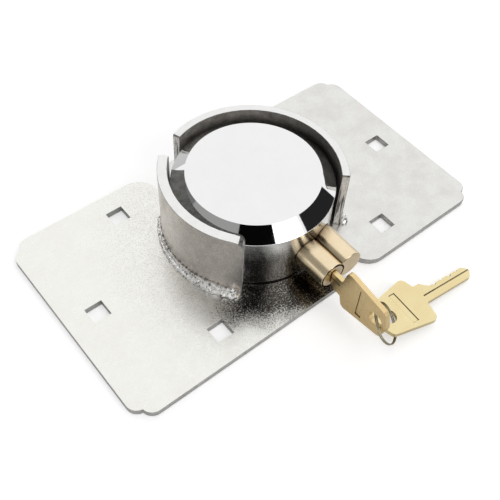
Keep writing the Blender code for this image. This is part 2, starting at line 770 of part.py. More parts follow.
def make_cylinder_shell():
    """The brass housing: two barrels with the plug bore, the pin bores and the latch's room."""
    shell = bar_between("cylinder_shell", CYLINDER_FACE_Y, CYLINDER_BACK_Y, two_barrels(BARREL_RADIUS))
    soften(shell, FACE_CHAMFER, 1, 60.0)
    bore_profile = [
        (0.0, -CYLINDER_FACE_Y + OVER),
        (PLUG_FACE_RADIUS + RUNNING, -CYLINDER_FACE_Y + OVER),
        (PLUG_FACE_RADIUS + RUNNING, -CYLINDER_FACE_Y - PLUG_FACE_DEPTH - RUNNING),
        (PLUG_RADIUS + RUNNING, -CYLINDER_FACE_Y - PLUG_FACE_DEPTH - RUNNING),
        (PLUG_RADIUS + RUNNING, -WEB_FRONT_Y),
        (TAIL_RADIUS + RUNNING, -WEB_FRONT_Y),
        (TAIL_RADIUS + RUNNING, -WEB_BACK_Y),
        (CAVITY_RADIUS, -WEB_BACK_Y),
        (CAVITY_RADIUS, -CYLINDER_BACK_Y - OVER),
        (0.0, -CYLINDER_BACK_Y - OVER),
    ]
    combine(shell, turned("plug_bore_cutter", bore_profile, along_cylinder(), collection=CUTTERS))
    for i, y in enumerate(PIN_YS):
        chamber = rod(
            f"chamber_cutter_{i + 1}",
            (PLUG_X, y, CYLINDER_Z),
            (PIN_BARREL_X + BARREL_RADIUS + OVER, y, CYLINDER_Z),
            PIN_BORE, collection=CUTTERS,
        )
        combine(shell, chamber)
    window = block(
        "latch_window_cutter",
        (PLUG_X - BARREL_RADIUS - OVER, LATCH_FRONT_Y - RUNNING, CYLINDER_Z - LATCH_HALF_WIDTH - SEAT),
        (PLUG_X, LATCH_BACK_Y + RUNNING, CYLINDER_Z + LATCH_HALF_WIDTH + SEAT),
        CUTTERS,
    )
    combine(shell, window)
    spring_room = rod(
        "latch_spring_cutter",
        (PLUG_X, LATCH_Y, CYLINDER_Z),
        (PLUG_X + LATCH_SPRING_REACH, LATCH_Y, CYLINDER_Z),
        LATCH_SPRING_BORE, collection=CUTTERS,
    )
    combine(shell, spring_room)
    pocket = rod(
        "return_pocket_cutter",
        (RETURN_SPRING_X, CYLINDER_BACK_Y - RETURN_POCKET_DEPTH, CYLINDER_Z),
        (RETURN_SPRING_X, CYLINDER_BACK_Y + OVER, CYLINDER_Z),
        RETURN_SPRING_BORE, POCKET_SIDES, collection=CUTTERS,
    )
    combine(shell, pocket)
    slot_half = STOP_PIN_RADIUS + RUNNING
    slot = block(
        "stop_slot_cutter",
        (PIN_BARREL_X - slot_half, STOP_PIN_Y - TRAVEL - slot_half, CYLINDER_Z - BARREL_RADIUS - OVER),
        (PIN_BARREL_X + slot_half, STOP_PIN_Y + slot_half, CYLINDER_Z - BARREL_RADIUS + STOP_SLOT_DEPTH),
        CUTTERS,
    )
    combine(shell, slot)
    return finish(smooth(shell), BRASS)


def make_bolt():
    """The locking pin: its head closes the back of the cylinder."""
    profile = [
        (0.0, -BOLT_HEAD_Y),
        (CAVITY_RADIUS - SEAT, -BOLT_HEAD_Y),
        (CAVITY_RADIUS - SEAT, -BOLT_HEAD_Y - BOLT_HEAD_THICKNESS),
        (BOLT_RADIUS, -BOLT_HEAD_Y - BOLT_HEAD_THICKNESS),
        (BOLT_RADIUS, -BOLT_TIP_Y + BOLT_TIP_CHAMFER),
        (BOLT_RADIUS - BOLT_TIP_CHAMFER, -BOLT_TIP_Y),
        (0.0, -BOLT_TIP_Y),
    ]
    return finish(turned("bolt", profile, along_cylinder(), BORE_SIDES), STEEL)


def make_plug():
    """The turning core, with its keyway and the bores of its pins."""
    profile = [
        (0.0, -CYLINDER_FACE_Y),
        (PLUG_FACE_RADIUS, -CYLINDER_FACE_Y),
        (PLUG_FACE_RADIUS, -CYLINDER_FACE_Y - PLUG_FACE_DEPTH),
        (PLUG_RADIUS, -CYLINDER_FACE_Y - PLUG_FACE_DEPTH),
        (PLUG_RADIUS, -PLUG_BACK_Y),
        (TAIL_RADIUS, -PLUG_BACK_Y),
        (TAIL_RADIUS, -CLIP_FRONT_Y + SEAT),
        (TAIL_RADIUS - TAIL_GROOVE, -CLIP_FRONT_Y + SEAT),
        (TAIL_RADIUS - TAIL_GROOVE, -CAM_FRONT_Y + SEAT),
        (0.0, -CAM_FRONT_Y + SEAT),
    ]
    plug = turned("plug", profile, along_cylinder())
    half = BLADE_THICKNESS / 2 + SEAT
    keyway = block(
        "keyway_cutter",
        (PLUG_X - half, CYLINDER_FACE_Y - OVER, CYLINDER_Z - BLADE_EDGE - SEAT),
        (PLUG_X + half, KEY_TIP_Y + SEAT, CYLINDER_Z + BLADE_SPINE + SEAT),
        CUTTERS,
    )
    combine(plug, keyway)
    for i, y in enumerate(PIN_YS):
        bore = rod(
            f"key_pin_cutter_{i + 1}",
            (PLUG_X, y, CYLINDER_Z),
            (PLUG_X, y, CYLINDER_Z - PLUG_RADIUS - OVER),
            PIN_BORE, collection=CUTTERS,
        )
        combine(plug, bore)
    return finish(plug, BRASS)


def make_clip():
    """The open ring behind the web that keeps the plug in."""
    start = CLIP_MOUTH / 2
    inner = arc((PLUG_X, CYLINDER_Z), TAIL_RADIUS - TAIL_GROOVE + SEAT, start, math.tau - start)
    outer = arc((PLUG_X, CYLINDER_Z), CLIP_RADIUS, start, math.tau - start)
    clip = bar_between("plug_clip", CLIP_FRONT_Y, CLIP_BACK_Y, outer + inner[::-1])
    move_origin(clip, (PLUG_X, CLIP_FRONT_Y, CYLINDER_Z))
    return finish(smooth(clip), SPRING_STEEL)


def make_cam():
    """A disc on the plug's tail with an off-centre pin that draws the latch bar."""
    disc = rod(
        "cam",
        (PLUG_X, CAM_FRONT_Y, CYLINDER_Z),
        (PLUG_X, CAM_BACK_Y, CYLINDER_Z),
        CAM_RADIUS, DISC_SIDES,
    )
    pin = rod(
        "cam_pin_tool",
        (PLUG_X + CAM_THROW, (CAM_FRONT_Y + CAM_BACK_Y) / 2, CYLINDER_Z),
        (PLUG_X + CAM_THROW, LATCH_BACK_Y, CYLINDER_Z),
        CAM_PIN_RADIUS, collection=CUTTERS,
    )
    combine(disc, pin, "UNION")
    return finish(disc, STEEL)


def make_latch_bar():
    """The bar that snaps into the body's grooves, with a slot for the cam's pin."""
    slot_half = CAM_PIN_RADIUS + CAM_SLACK
    slot_x = PLUG_X + CAM_THROW
    slot_reach = CAM_THROW + CAM_PIN_RADIUS + RUNNING / 2
    tip_x = PLUG_X + latch_tip()
    nose_x = tip_x + LATCH_NOSE_LENGTH
    back_x = slot_x + slot_half + CAM_PIN_RADIUS
    z = CYLINDER_Z
    outline = [
        (back_x, z - LATCH_HALF_WIDTH),
        (back_x, z + LATCH_HALF_WIDTH),
        (nose_x, z + LATCH_HALF_WIDTH),
        (nose_x, z + LATCH_NOSE_HALF_WIDTH),
        (tip_x, z + LATCH_NOSE_HALF_WIDTH),
        (tip_x, z - LATCH_NOSE_HALF_WIDTH),
        (nose_x, z - LATCH_NOSE_HALF_WIDTH),
        (nose_x, z - LATCH_HALF_WIDTH),
    ]
    slot = box_loop(slot_x - slot_half, slot_x + slot_half, z - slot_reach, z + slot_reach)
    frame = upright_frame(LATCH_Y)
    bar = slab("latch_bar", [outline, slot], LATCH_THICKNESS, frame)
    finish(smooth(bar), STEEL)
    spring = coil(
        "latch_spring",
        (back_x + SEAT, LATCH_Y, z),
        (PLUG_X + LATCH_SPRING_REACH - SEAT, LATCH_Y, z),
        LATCH_SPRING_RADIUS, PIN_SPRING_WIRE, PIN_SPRING_TURNS, PIN_SPRING_STEPS,
    )
    finish(smooth(spring), SPRING_STEEL)


def pointed_pin(name, y, bottom, top):
    """A key pin: round, with a pointed tip that sits in the key's cut."""
    profile = [
        (0.0, top - CYLINDER_Z),
        (PIN_TIP_RADIUS, top - CYLINDER_Z),
        (PIN_RADIUS, top - PIN_TIP_HEIGHT - CYLINDER_Z),
        (PIN_RADIUS, bottom - CYLINDER_Z),
        (0.0, bottom - CYLINDER_Z),
    ]
    return turned(name, profile, Matrix.Translation((PLUG_X, y, CYLINDER_Z)), PIN_SIDES)


def make_pins():
    """Key pins in the plug, and driver pins, springs and caps in the pin barrel."""
    plug_bore = PLUG_RADIUS + RUNNING
    for i, (y, depth) in enumerate(zip(PIN_YS, CUT_DEPTHS)):
        number = i + 1
        cut_z = CYLINDER_Z - BLADE_EDGE + depth
        key_pin = pointed_pin(f"key_pin_{number}", y, CYLINDER_Z - PLUG_RADIUS, cut_z - SEAT)
        finish(key_pin, BRASS)
        start = PLUG_X + plug_bore + SEAT
        driver_end = start + DRIVER_LENGTH
        driver = rod(
            f"driver_pin_{number}", (start, y, CYLINDER_Z), (driver_end, y, CYLINDER_Z),
            PIN_RADIUS, PIN_SIDES,
        )
        finish(driver, BRASS)
        cap_end = PIN_BARREL_X + math.sqrt(BARREL_RADIUS ** 2 - PIN_BORE ** 2)
        cap_start = cap_end - CAP_THICKNESS
        cap = rod(
            f"chamber_cap_{number}", (cap_start, y, CYLINDER_Z), (cap_end, y, CYLINDER_Z),
            PIN_RADIUS, PIN_SIDES,
        )
        finish(cap, BRASS)
        spring = coil(
            f"pin_spring_{number}",
            (driver_end + SEAT, y, CYLINDER_Z),
            (cap_start - SEAT, y, CYLINDER_Z),
            PIN_RADIUS - PIN_SPRING_WIRE, PIN_SPRING_WIRE, PIN_SPRING_TURNS, PIN_SPRING_STEPS,
        )
        finish(smooth(spring), SPRING_STEEL)


# Keys
def key_outline():
    """The key's outline: x from the blade's tip to the bow, y across with the cuts at +y."""
    fine = BLADE_CORNER_RADIUS
    broad = BOW_CORNER_RADIUS
    corners = [
        (0.0, 0.0, fine),
        (BLADE_POINT, -BLADE_SPINE, fine),
        (BOW_START - NECK_SLOPE, -BLADE_SPINE, fine),
        (BOW_START, -BOW_HALF_WIDTH, broad),
        (HEAD_CORNER, -HEAD_HALF_WIDTH, broad),
        (KEY_LENGTH, 0.0, HEAD_HALF_WIDTH),
        (HEAD_CORNER, HEAD_HALF_WIDTH, broad),
        (BOW_START, BOW_HALF_WIDTH, broad),
        (BOW_START - NECK_SLOPE, SHOULDER_WIDTH, fine),
        (SHOULDER_STEP, SHOULDER_WIDTH, fine),
        (SHOULDER_START, BLADE_EDGE, fine),
    ]
    for y, depth in zip(PIN_YS, CUT_DEPTHS):
        place = KEY_TIP_Y - y
        bottom = BLADE_EDGE - depth
        half = CUT_FLAT / 2
        corners += [
            (place + half + CUT_FLANK * depth, BLADE_EDGE, 0.0),
            (place + half, bottom, 0.0),
            (place - half, bottom, 0.0),
            (place - half - CUT_FLANK * depth, BLADE_EDGE, 0.0),
        ]
    corners.append((BLADE_POINT, BLADE_EDGE, fine))
    return rounded(corners)


def cut_key_face(key, frame, side):
    """Thin the blade, mill its groove and sink the bow's band on one face of a key."""
    face = side * KEY_THICKNESS / 2
    cuts = (
        ("blade", -OVER, SHOULDER_START - OVER, -BLADE_SPINE - OVER, BLADE_EDGE + OVER,
         (KEY_THICKNESS - BLADE_THICKNESS) / 2),
        ("groove", -OVER, BOW_START - NECK_SLOPE - OVER, -BLADE_GROOVE_WIDTH / 2, BLADE_GROOVE_WIDTH / 2,
         BLADE_GROOVE_DEPTH),
        ("band", BOW_BAND_END - BOW_BAND_WIDTH, BOW_BAND_END, -BOW_BAND_HALF_LENGTH, BOW_BAND_HALF_LENGTH,
         BOW_BAND_DEPTH),
    )
    for what, x0, x1, y0, y1, depth in cuts:
        floor = face - side * depth
        outside = face + side * OVER
        cutter = block(
            f"{key.name}_{what}_cutter_{side + 2}",
            (x0, y0, min(floor, outside)), (x1, y1, max(floor, outside)), CUTTERS,
        )
        cutter.matrix_world = frame
        combine(key, cutter)


def make_key(name, frame, look):
    """A key cut from its blank, in a frame whose x runs from tip to bow and z through it."""
    hole = circle((KEY_HOLE_PLACE, 0.0), KEY_HOLE_RADIUS, DISC_SIDES)
    key = slab(name, [key_outline(), hole], KEY_THICKNESS, frame)
    for side in (-1, 1):
        cut_key_face(key, frame, side)
    return finish(smooth(key), look)


def plug_key_frame():
    """The key in the plug: its length runs out of the lock and its cuts face down."""
    length, cuts, through = Vector((0, -1, 0)), Vector((0, 0, -1)), Vector((1, 0, 0))
    frame = Matrix((length, cuts, through)).transposed().to_4x4()
    return Matrix.Translation((PLUG_X, KEY_TIP_Y, CYLINDER_Z)) @ frame


def ring_frame():
    """The ring's place: origin at its centre, z its axis, x towards the key in the plug."""
    hole = plug_key_frame() @ Vector((KEY_HOLE_PLACE - RING_HOLE_SHIFT, RING_HOLE_DROP, 0.0))
    normal = RING_NORMAL.normalized()
    inward = (RING_ACROSS - normal * RING_ACROSS.dot(normal)).normalized()
    centre = hole + inward * RING_RADIUS
    x_axis = -inward
    y_axis = normal.cross(x_axis)
    frame = Matrix((x_axis, y_axis, normal)).transposed().to_4x4()
    return Matrix.Translation(centre) @ frame


def make_ring():
    """A split ring: two turns of wire that lie on each other."""
    frame = ring_frame()
    curve = bpy.data.curves.new("key_ring", "CURVE")
    curve.dimensions = "3D"
    curve.bevel_depth = RING_WIRE_RADIUS
    curve.bevel_resolution = 2
    curve.use_fill_caps = True
    count = 2 * RING_STEPS - 1
    spline = curve.splines.new("POLY")
    spline.points.add(count)
    for i, point in enumerate(spline.points):
        share = i / count
        angle = RING_START + share * (2 * math.tau - RING_GAP)
        height = RING_PITCH * (2 * share - 1.0)
        point.co = (RING_RADIUS * math.cos(angle), RING_RADIUS * math.sin(angle), height, 1.0)
    obj = add_object("key_ring", curve)
    obj.matrix_world = frame
    ring = as_mesh(obj)
    move_origin(ring, frame @ Vector((RING_RADIUS, 0.0, 0.0)))
    return finish(smooth(ring), DARK_STEEL)


def spare_key_frame():
    """The spare key as it lies: its bow on the ring and its tip low."""
    ring = ring_frame()
    angle = RING_CARRY_ANGLE
    carry = ring @ Vector((RING_RADIUS * math.cos(angle), RING_RADIUS * math.sin(angle), 0.0))
    heading = Matrix.Rotation(SPARE_HEADING + math.pi, 4, "Z")
    slope = Matrix.Rotation(-SPARE_SLOPE, 4, "Y")
    turn = heading @ slope @ Matrix.Rotation(math.pi, 4, "X")
    hole = carry + Vector((SPARE_HOLE_SHIFT_X, SPARE_HOLE_SHIFT_Y, 0.0))
    return Matrix.Translation(hole) @ turn @ Matrix.Translation((-KEY_HOLE_PLACE, 0.0, 0.0)), carry


def make_keys():
    make_key("key", plug_key_frame(), DULL_BRASS)
    make_ring()
    frame, carry = spare_key_frame()
    spare = make_key("spare_key", frame, PALE_BRASS)
    move_origin(spare, carry)


make_hasp()
make_lock_body()
make_stop_pin()
make_return_spring()
make_cylinder_shell()
make_bolt()
make_plug()
make_clip()
make_cam()
make_latch_bar()
make_pins()
make_keys()
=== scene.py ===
"""Looks of the puck lock in its van door hasp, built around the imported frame."""
import json
import math

import bmesh
import bpy
from mathutils import Matrix, Vector, noise


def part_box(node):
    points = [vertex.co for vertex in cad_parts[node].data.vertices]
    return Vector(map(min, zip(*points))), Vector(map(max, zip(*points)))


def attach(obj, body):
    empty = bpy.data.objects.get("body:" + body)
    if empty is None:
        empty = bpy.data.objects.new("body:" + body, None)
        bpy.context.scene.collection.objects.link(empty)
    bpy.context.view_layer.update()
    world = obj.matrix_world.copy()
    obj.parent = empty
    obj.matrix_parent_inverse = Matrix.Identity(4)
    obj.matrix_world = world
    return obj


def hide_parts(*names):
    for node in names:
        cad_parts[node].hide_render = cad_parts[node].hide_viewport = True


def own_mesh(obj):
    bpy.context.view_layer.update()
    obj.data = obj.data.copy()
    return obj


MM = 0.001

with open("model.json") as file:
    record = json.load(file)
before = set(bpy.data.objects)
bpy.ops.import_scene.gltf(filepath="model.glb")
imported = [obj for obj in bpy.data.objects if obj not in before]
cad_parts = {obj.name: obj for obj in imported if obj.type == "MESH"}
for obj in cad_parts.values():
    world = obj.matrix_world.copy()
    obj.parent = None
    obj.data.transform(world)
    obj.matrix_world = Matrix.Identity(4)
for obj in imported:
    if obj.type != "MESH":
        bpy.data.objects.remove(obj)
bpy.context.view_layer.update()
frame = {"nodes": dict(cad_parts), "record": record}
NODES = frame["nodes"]
RECORD = frame["record"]

# Camera, fitted to the photograph: its place, its view and its lens
CAMERA_PLACE = Vector((-149.203, -165.613, 276.222)) * MM
CAMERA_FORWARD = Vector((0.403272, 0.445023, -0.799579))
CAMERA_RIGHT = Vector((0.776374, -0.628902, 0.041540))
SENSOR = 36.0
FOCAL_PIXELS = 751.385
IMAGE_PIXELS = 500.0
CLIP_START = 0.01
CLIP_END = 20.0

# Sizes taken from the frame
BODY_LOW, BODY_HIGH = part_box("lock_body")
SHELL_LOW, SHELL_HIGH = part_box("cylinder_shell")
SPRING_LOW, SPRING_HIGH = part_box("return_spring")
STOP_LOW, STOP_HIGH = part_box("stop_pin")
LATCH_LOW, LATCH_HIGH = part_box("latch_bar")
EYE_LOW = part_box("staple_left")[0]
EYE_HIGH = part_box("staple_right")[1]
BODY_RADIUS = BODY_HIGH.x
PLATE_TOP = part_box("hasp_plate_left")[1].z
BARREL_RADIUS = (SHELL_HIGH.z - SHELL_LOW.z) / 2
CYLINDER_Z = (SHELL_HIGH.z + SHELL_LOW.z) / 2
PLUG_X = SHELL_LOW.x + BARREL_RADIUS
PIN_BARREL_X = SHELL_HIGH.x - BARREL_RADIUS
PLUG_RIM_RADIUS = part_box("plug")[1].x - PLUG_X
FACE_Y = SHELL_LOW.y
SPRING_X = (SPRING_LOW.x + SPRING_HIGH.x) / 2
RIGHT_WALL_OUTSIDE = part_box("shroud_right")[1].x

# Sizes of the solids that a box doesn't tell
LEFT_WALL_CENTRE = 1.2 * MM
LEFT_WALL_OUTSIDE = LEFT_WALL_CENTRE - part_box("shroud_left")[0].x
DISC_RADIUS = 30.0 * MM
CHAMFER_HEIGHT = 5.5 * MM
FOOT_CHAMFER = 0.8 * MM
BOLT_RADIUS = 4.5 * MM
BOLT_TRAVEL_END = 11.3 * MM
CYLINDER_TRAVEL = 14.0 * MM
LATCH_THROW = 1.6 * MM
LATCH_SPRING_END = 9.0 * MM
LATCH_SPRING_BORE = 1.2 * MM
PLUG_RIM_DEPTH = 1.5 * MM
PLUG_BODY_RADIUS = 4.7 * MM
PLUG_TAIL_RADIUS = 3.0 * MM
WEB_THICKNESS = 1.0 * MM
CAVITY_RADIUS = 5.2 * MM
PIN_COUNT = 4

# Room for what moves in the lock body and in the cylinder
RUNNING = 0.3 * MM
EYE_ROOM = 1.2 * MM
EYE_ROOM_ABOVE = 1.5 * MM
BORE_END_WALL = 3.6 * MM
PIN_ROOM = 0.25 * MM
SPRING_ROOM = 0.35 * MM
SPRING_BORE = (SPRING_HIGH.x - SPRING_LOW.x) / 2 + SPRING_ROOM

# How far a cutting tool stands out, and how near counts as the same place
OVER = 1.0 * MM
CLOSE = 0.01 * MM
MERGE_TURNED = 0.005 * MM
MERGE_COPIED = 0.003 * MM

# Broken edges, and the recess round the plug
PLATE_EDGE = 0.35 * MM
WALL_EDGE = 0.4 * MM
KEY_EDGE = 0.3 * MM
PLUG_EDGE = 0.12 * MM
CORNER_ROUND = 0.4 * MM
CORNER_STEPS = 5
FACE_EDGE = 0.5 * MM
FACE_EDGE_STEPS = 4
FACE_EDGE_PROFILE = 0.6
MOUTH_DEPTH = 1.2 * MM
MOUTH_WIDTH = 0.8 * MM

# Steps round a circle
TURN_STEPS = 192
BARREL_STEPS = 110
BORE_STEPS = 96
ROD_STEPS = 64

# Angles in degrees: faces merged as flat, edges broken, and edges shaded as sharp
FLAT_ANGLE = 2.0
BROKEN_ANGLE = 35.0
BROKEN_ANGLE_BRASS = 40.0
SHARP_ANGLE = 35.0
SHARP_PUCK = 25.0
SHARP_WIRE = 50.0
SHARP_WELD = 60.0
ROUND_ENOUGH = 0.99

# Weld beads: two strands of lumpy metal, thin at one end
BEAD_STEP = 0.35 * MM
BEAD_SECTION = 12
BEAD_THIN = 1.5 * MM
BEAD_THICK = 4.3 * MM
BEAD_LEAST = 0.4 * MM
BEAD_SINK = 0.1 * MM
BEAD_LUMP = 0.6 * MM
BEAD_LUMP_TOP = 0.3
BEAD_LUMP_SCALE = 520.0
BEAD_RIPPLE = 0.22 * MM
BEAD_RIPPLE_PITCH = 2.1 * MM
BEAD_END_SHARE = 0.35
BEAD_END_RUN = 3.0 * MM
BEAD_FOOT_SHARE = 0.85
STRAND_SHARE = 0.26
STRAND_FIRST = math.radians(20.0)
STRAND_APART = math.radians(50.0)
FRACTAL = (1.0, 2.0, 4)
LEFT_BEAD = (math.radians(140.0), math.radians(224.0))
LEFT_BEAD_GROWTH = 1.25
LEFT_BEAD_CURVE = 1.2
RIGHT_BEAD = (math.radians(-41.5), math.radians(104.0))
RIGHT_BEAD_DROP = 14.0
RIGHT_BEAD_MORE = 0.4 * MM

# Noise patterns: repeats a metre, detail and roughness
BLOTCHES = (110.0, 4.0, 0.6)
GRAIN = (1500.0, 3.0, 0.7)
STREAKS = (500.0, 4.0, 0.7)
GLOSS = (260.0, 4.0, 0.65)
SWELLS = (420.0, 2.0, 0.55)
FLECKS = (1500.0, 3.0, 0.8)
FOOT_SHADE_WAVES = (90.0, 3.0, 0.55)
WALL_GRAIN = (1500.0, 3.0, 0.8)
MOTTLE = (240.0, 5.0, 0.65)
RIBS = (1100.0, 2.0, 0.6)
WELD_LUMPS = (850.0, 5.0, 0.75)
WELD_SCALE = (300.0, 3.0, 0.6)
WELD_GLOSS = (500.0, 4.0, 0.55)
HAZE = (90.0, 4.0, 0.6)
BUFF_MARKS = (600.0, 2.0, 0.5)
SIDE_GLOSS = (260.0, 4.0, 0.7)
METAL_TONE_SHARE = 0.25
METAL_TONE = (4.0, 0.6)
METAL_GRAIN = (3.0, 0.6)

# Stretches of a pattern along X, Y and Z
STREAK_STRETCH = (1.0, 1.0, 0.25)
RIB_STRETCH = (1.0, 1.0, 0.06)
BUFF_STRETCH = (1.0, 1.0, 0.12)
LEVEL = (1.0, 1.0, 0.0)

# Parts of a noise, or of a face's direction, that a change is spread over
WIDE = (0.3, 0.7)
BLOTCH_SPREAD = (0.38, 0.66)
GRAIN_SPREAD = (0.42, 0.72)
WALL_GRAIN_SPREAD = (0.46, 0.62)
MOTTLE_SPREAD = (0.34, 0.68)
RIB_SPREAD = (0.50, 0.60)
FRAY_SPREAD = (0.35, 0.65)
SPECKLE_SPREAD = (0.50, 0.60)
FLECK_SPREAD = (0.52, 0.58)
WELD_HIGHLIGHT_SPREAD = (0.41, 0.46)
WELD_SCALE_SPREAD = (0.40, 0.70)
METAL_SPREAD = (0.35, 0.68)
SHADE_SPREAD = (0.42, 0.86)
CREVICE_SHADE_SPREAD = (0.50, 0.86)
PLATE_FACES_UP = (0.35, 0.75)
WALL_FACES_UP = (0.70, 0.97)
WALL_FACES_OUT = (0.48, 0.62)
WALL_FACES_IN = (-0.62, -0.48)
UPRIGHT = (0.1, 0.2)
EDGE_LEAVES = (0.2, 0.35)
EDGE_ARRIVES = (0.90, 0.955)

# Tones, and how much of them shows
# Painted shade line on the broken edges: its tone, and how much of it shows on plates and walls
EDGE_TONE = (0.07, 0.065, 0.06)
PLATE_EDGE_DARK = 0.6
WALL_EDGE_DARK = 0.8
CUT_STEEL = (0.74, 0.73, 0.71)
CUT_STREAK_TONE = 0.72
GRAIN_TONE = 0.70
WALL_GRAIN_TONE = 0.45
WALL_GRAIN_DEPTH = 0.45
INNER_MOTTLE_TONE = 0.62
INNER_PALE = 4.0
INNER_PALE_MOTTLE_TONE = 0.5
RIB_TONE = 0.2
OUTER_MOTTLE_TONE = 0.80
TOP_MOTTLE_TONE = 0.97
HAZE_TONE = 0.975
WELD_HOLLOW_SHADE = (0.045, 0.040, 0.034)
WELD_CREST_HIGHLIGHT = (0.97, 0.96, 0.94)
WELD_DULL = (0.42, 0.40, 0.37)
WELD_DULL_DEPTH = 0.35

# The wall's inside carries painted shade low down and at the front, and painted light high up at
# the back
WALL_DARK_BELOW = 12.0 * MM
WALL_PALE_ABOVE = 28.0 * MM
WALL_BACK = 28.0 * MM
WALL_FRONT_SHARE = 0.12

# Roughness, from and to
ZINC_ROUGH = (0.24, 0.38)
WALL_ROUGH = (0.30, 0.44)
INSIDE_ROUGHER = 0.3
WELD_ROUGH = (0.22, 0.5)
PUCK_ROUGH = (0.02, 0.05)
SIDE_ROUGHER = (0.08, 0.17)
FOOT_SHADE_SMOOTHER = 0.10

# Relief: strength of the bump and its height in metres
ZINC_RELIEF = (0.07, 0.12 * MM)
WALL_RELIEF = (0.14, 0.14 * MM)
WELD_RELIEF = (0.45, 0.3 * MM)
PUCK_RELIEF = (0.02, 0.03 * MM)
METAL_RELIEF = 0.015 * MM
GRAIN_RELIEF = 0.6
SWELL_RELIEF = 0.5
MOTTLE_RELIEF = 0.6

# How far round a point painted shade is looked for, in narrow grooves and in wide hollows
CREVICE_SHADE_REACH = 1.1 * MM
SHADE_REACH = 9.0 * MM
REACH_SAMPLES = 8

# Painted shade and reflection on the plate at the lock's foot, its bright flecks, and the dark
# speckles around it
FOOT_SHADE_MIDDLE = math.radians(-113.0)
FOOT_SHADE_REACH = math.radians(19.0)
FOOT_SHADE_FADE = math.radians(16.0)
FOOT_SHADE_NEAR = 50.0 * MM
FOOT_SHADE_FAR = 61.0 * MM
FOOT_SHADE_WAVE = 2.0 * MM
FOOT_SHADE_FRAY = 4.0 * MM
FOOT_SHADE_FRAY_ROUND = 0.07
FOOT_SHADE_TONE = (0.022, 0.018, 0.014)
FOOT_SHADE_DEPTH = 0.985
FLECK_TONE = (0.62, 0.60, 0.56)
FLECK_DEPTH = 0.22
SPECKLE_FAR = 78.0 * MM
SPECKLE_TONE = (0.30, 0.28, 0.26)
SPECKLE_DEPTH = 0.32


# Shader building
def toned(tone, factor):
    return tuple(c * factor for c in tone)


class Shader:
    """A small wrapper that adds nodes and links to a material or world."""

    def __init__(self, owner):
        owner.use_nodes = True
        self.tree = owner.node_tree
        self.tree.nodes.clear()

    def node(self, kind, inputs=None, **settings):
        made = self.tree.nodes.new(kind)
        for key, value in settings.items():
            setattr(made, key, value)
        for key, value in (inputs or {}).items():
            self.put(made.inputs[key], value)
        return made

    def put(self, socket, value):
        """Set a socket to a constant, or link it when the value is another socket."""
        if isinstance(value, bpy.types.NodeSocket):
            self.tree.links.new(value, socket)
        elif socket.type == "RGBA":
            socket.default_value = (*value, 1.0)
        else:
            socket.default_value = value

    def place(self):
        """Object coordinates, in metres."""
        return self.node("ShaderNodeTexCoord").outputs["Object"]

    def parts(self, vector):
        """The X, Y and Z of a vector."""
        return self.node("ShaderNodeSeparateXYZ", {"Vector": vector}).outputs

    def normal(self):
        return self.node("ShaderNodeNewGeometry").outputs["True Normal"]

    def normal_z(self):
        """How far a face looks upwards."""
        return self.parts(self.normal())["Z"]

    def radial(self, centre):
        """How far a face looks away from the upright axis through a point: -1 is towards it."""
        away = self.vector("SUBTRACT", self.place(), centre)
        unit = self.vector("NORMALIZE", self.vector("MULTIPLY", away, LEVEL))
        return self.vector("DOT_PRODUCT", self.normal(), unit)

    def scaled(self, factors):
        mapping = self.node("ShaderNodeMapping", {"Vector": self.place(), "Scale": factors})
        return mapping.outputs["Vector"]

    def noise(self, scale, detail, roughness, vector=None):
        texture = self.node("ShaderNodeTexNoise", {
            "Vector": vector or self.place(), "Scale": scale, "Detail": detail,
            "Roughness": roughness,
        })
        return texture.outputs["Fac"]

    def span(self, value, low, high, out_low=0.0, out_high=1.0):
        """Map a range of a value to another range, clamped."""
        made = self.node("ShaderNodeMapRange", {
            "Value": value, "From Min": low, "From Max": high,
            "To Min": out_low, "To Max": out_high,
        })
        return made.outputs["Result"]

    def math(self, operation, first, second=0.0, clamp=False):
        made = self.node(
            "ShaderNodeMath", {0: first, 1: second}, operation=operation, use_clamp=clamp)
        return made.outputs["Value"]

    def vector(self, operation, *vectors):
        made = self.node(
            "ShaderNodeVectorMath", dict(enumerate(vectors)), operation=operation)
        plain = operation in ("DOT_PRODUCT", "LENGTH")
        return made.outputs["Value" if plain else "Vector"]

    def mix(self, factor, first, second):
        made = self.node("ShaderNodeMix", data_type="RGBA")
        self.put(made.inputs["Factor"], factor)
        self.put(made.inputs[6], first)
        self.put(made.inputs[7], second)
        return made.outputs[2]

    def bump(self, height, strength, distance):
        made = self.node(
            "ShaderNodeBump", {"Height": height, "Strength": strength, "Distance": distance})
        return made.outputs["Normal"]

    def openness(self, distance):
        """How little stands round a point within a distance: 1 is quite free."""
        made = self.node(
            "ShaderNodeAmbientOcclusion", {"Distance": distance}, samples=REACH_SAMPLES)
        return made.outputs["AO"]

    def edge_line(self, colour, facing, amount):
        """Paint a dark shade line on the broken edges, which face partly one way and partly the
        other.
        """
        leaving = self.span(facing, *EDGE_LEAVES, 0.0, amount)
        arriving = self.span(facing, *EDGE_ARRIVES, 1.0, 0.0)
        return self.mix(self.math("MULTIPLY", leaving, arriving), colour, EDGE_TONE)

    def metal(self, colour, roughness, normal):
        """End the material as bare metal."""
        shader = self.node("ShaderNodeBsdfPrincipled", {
            "Base Color": colour, "Metallic": 1.0, "Roughness": roughness, "Normal": normal,
        })
        self.node("ShaderNodeOutputMaterial", {"Surface": shader.outputs["BSDF"]})


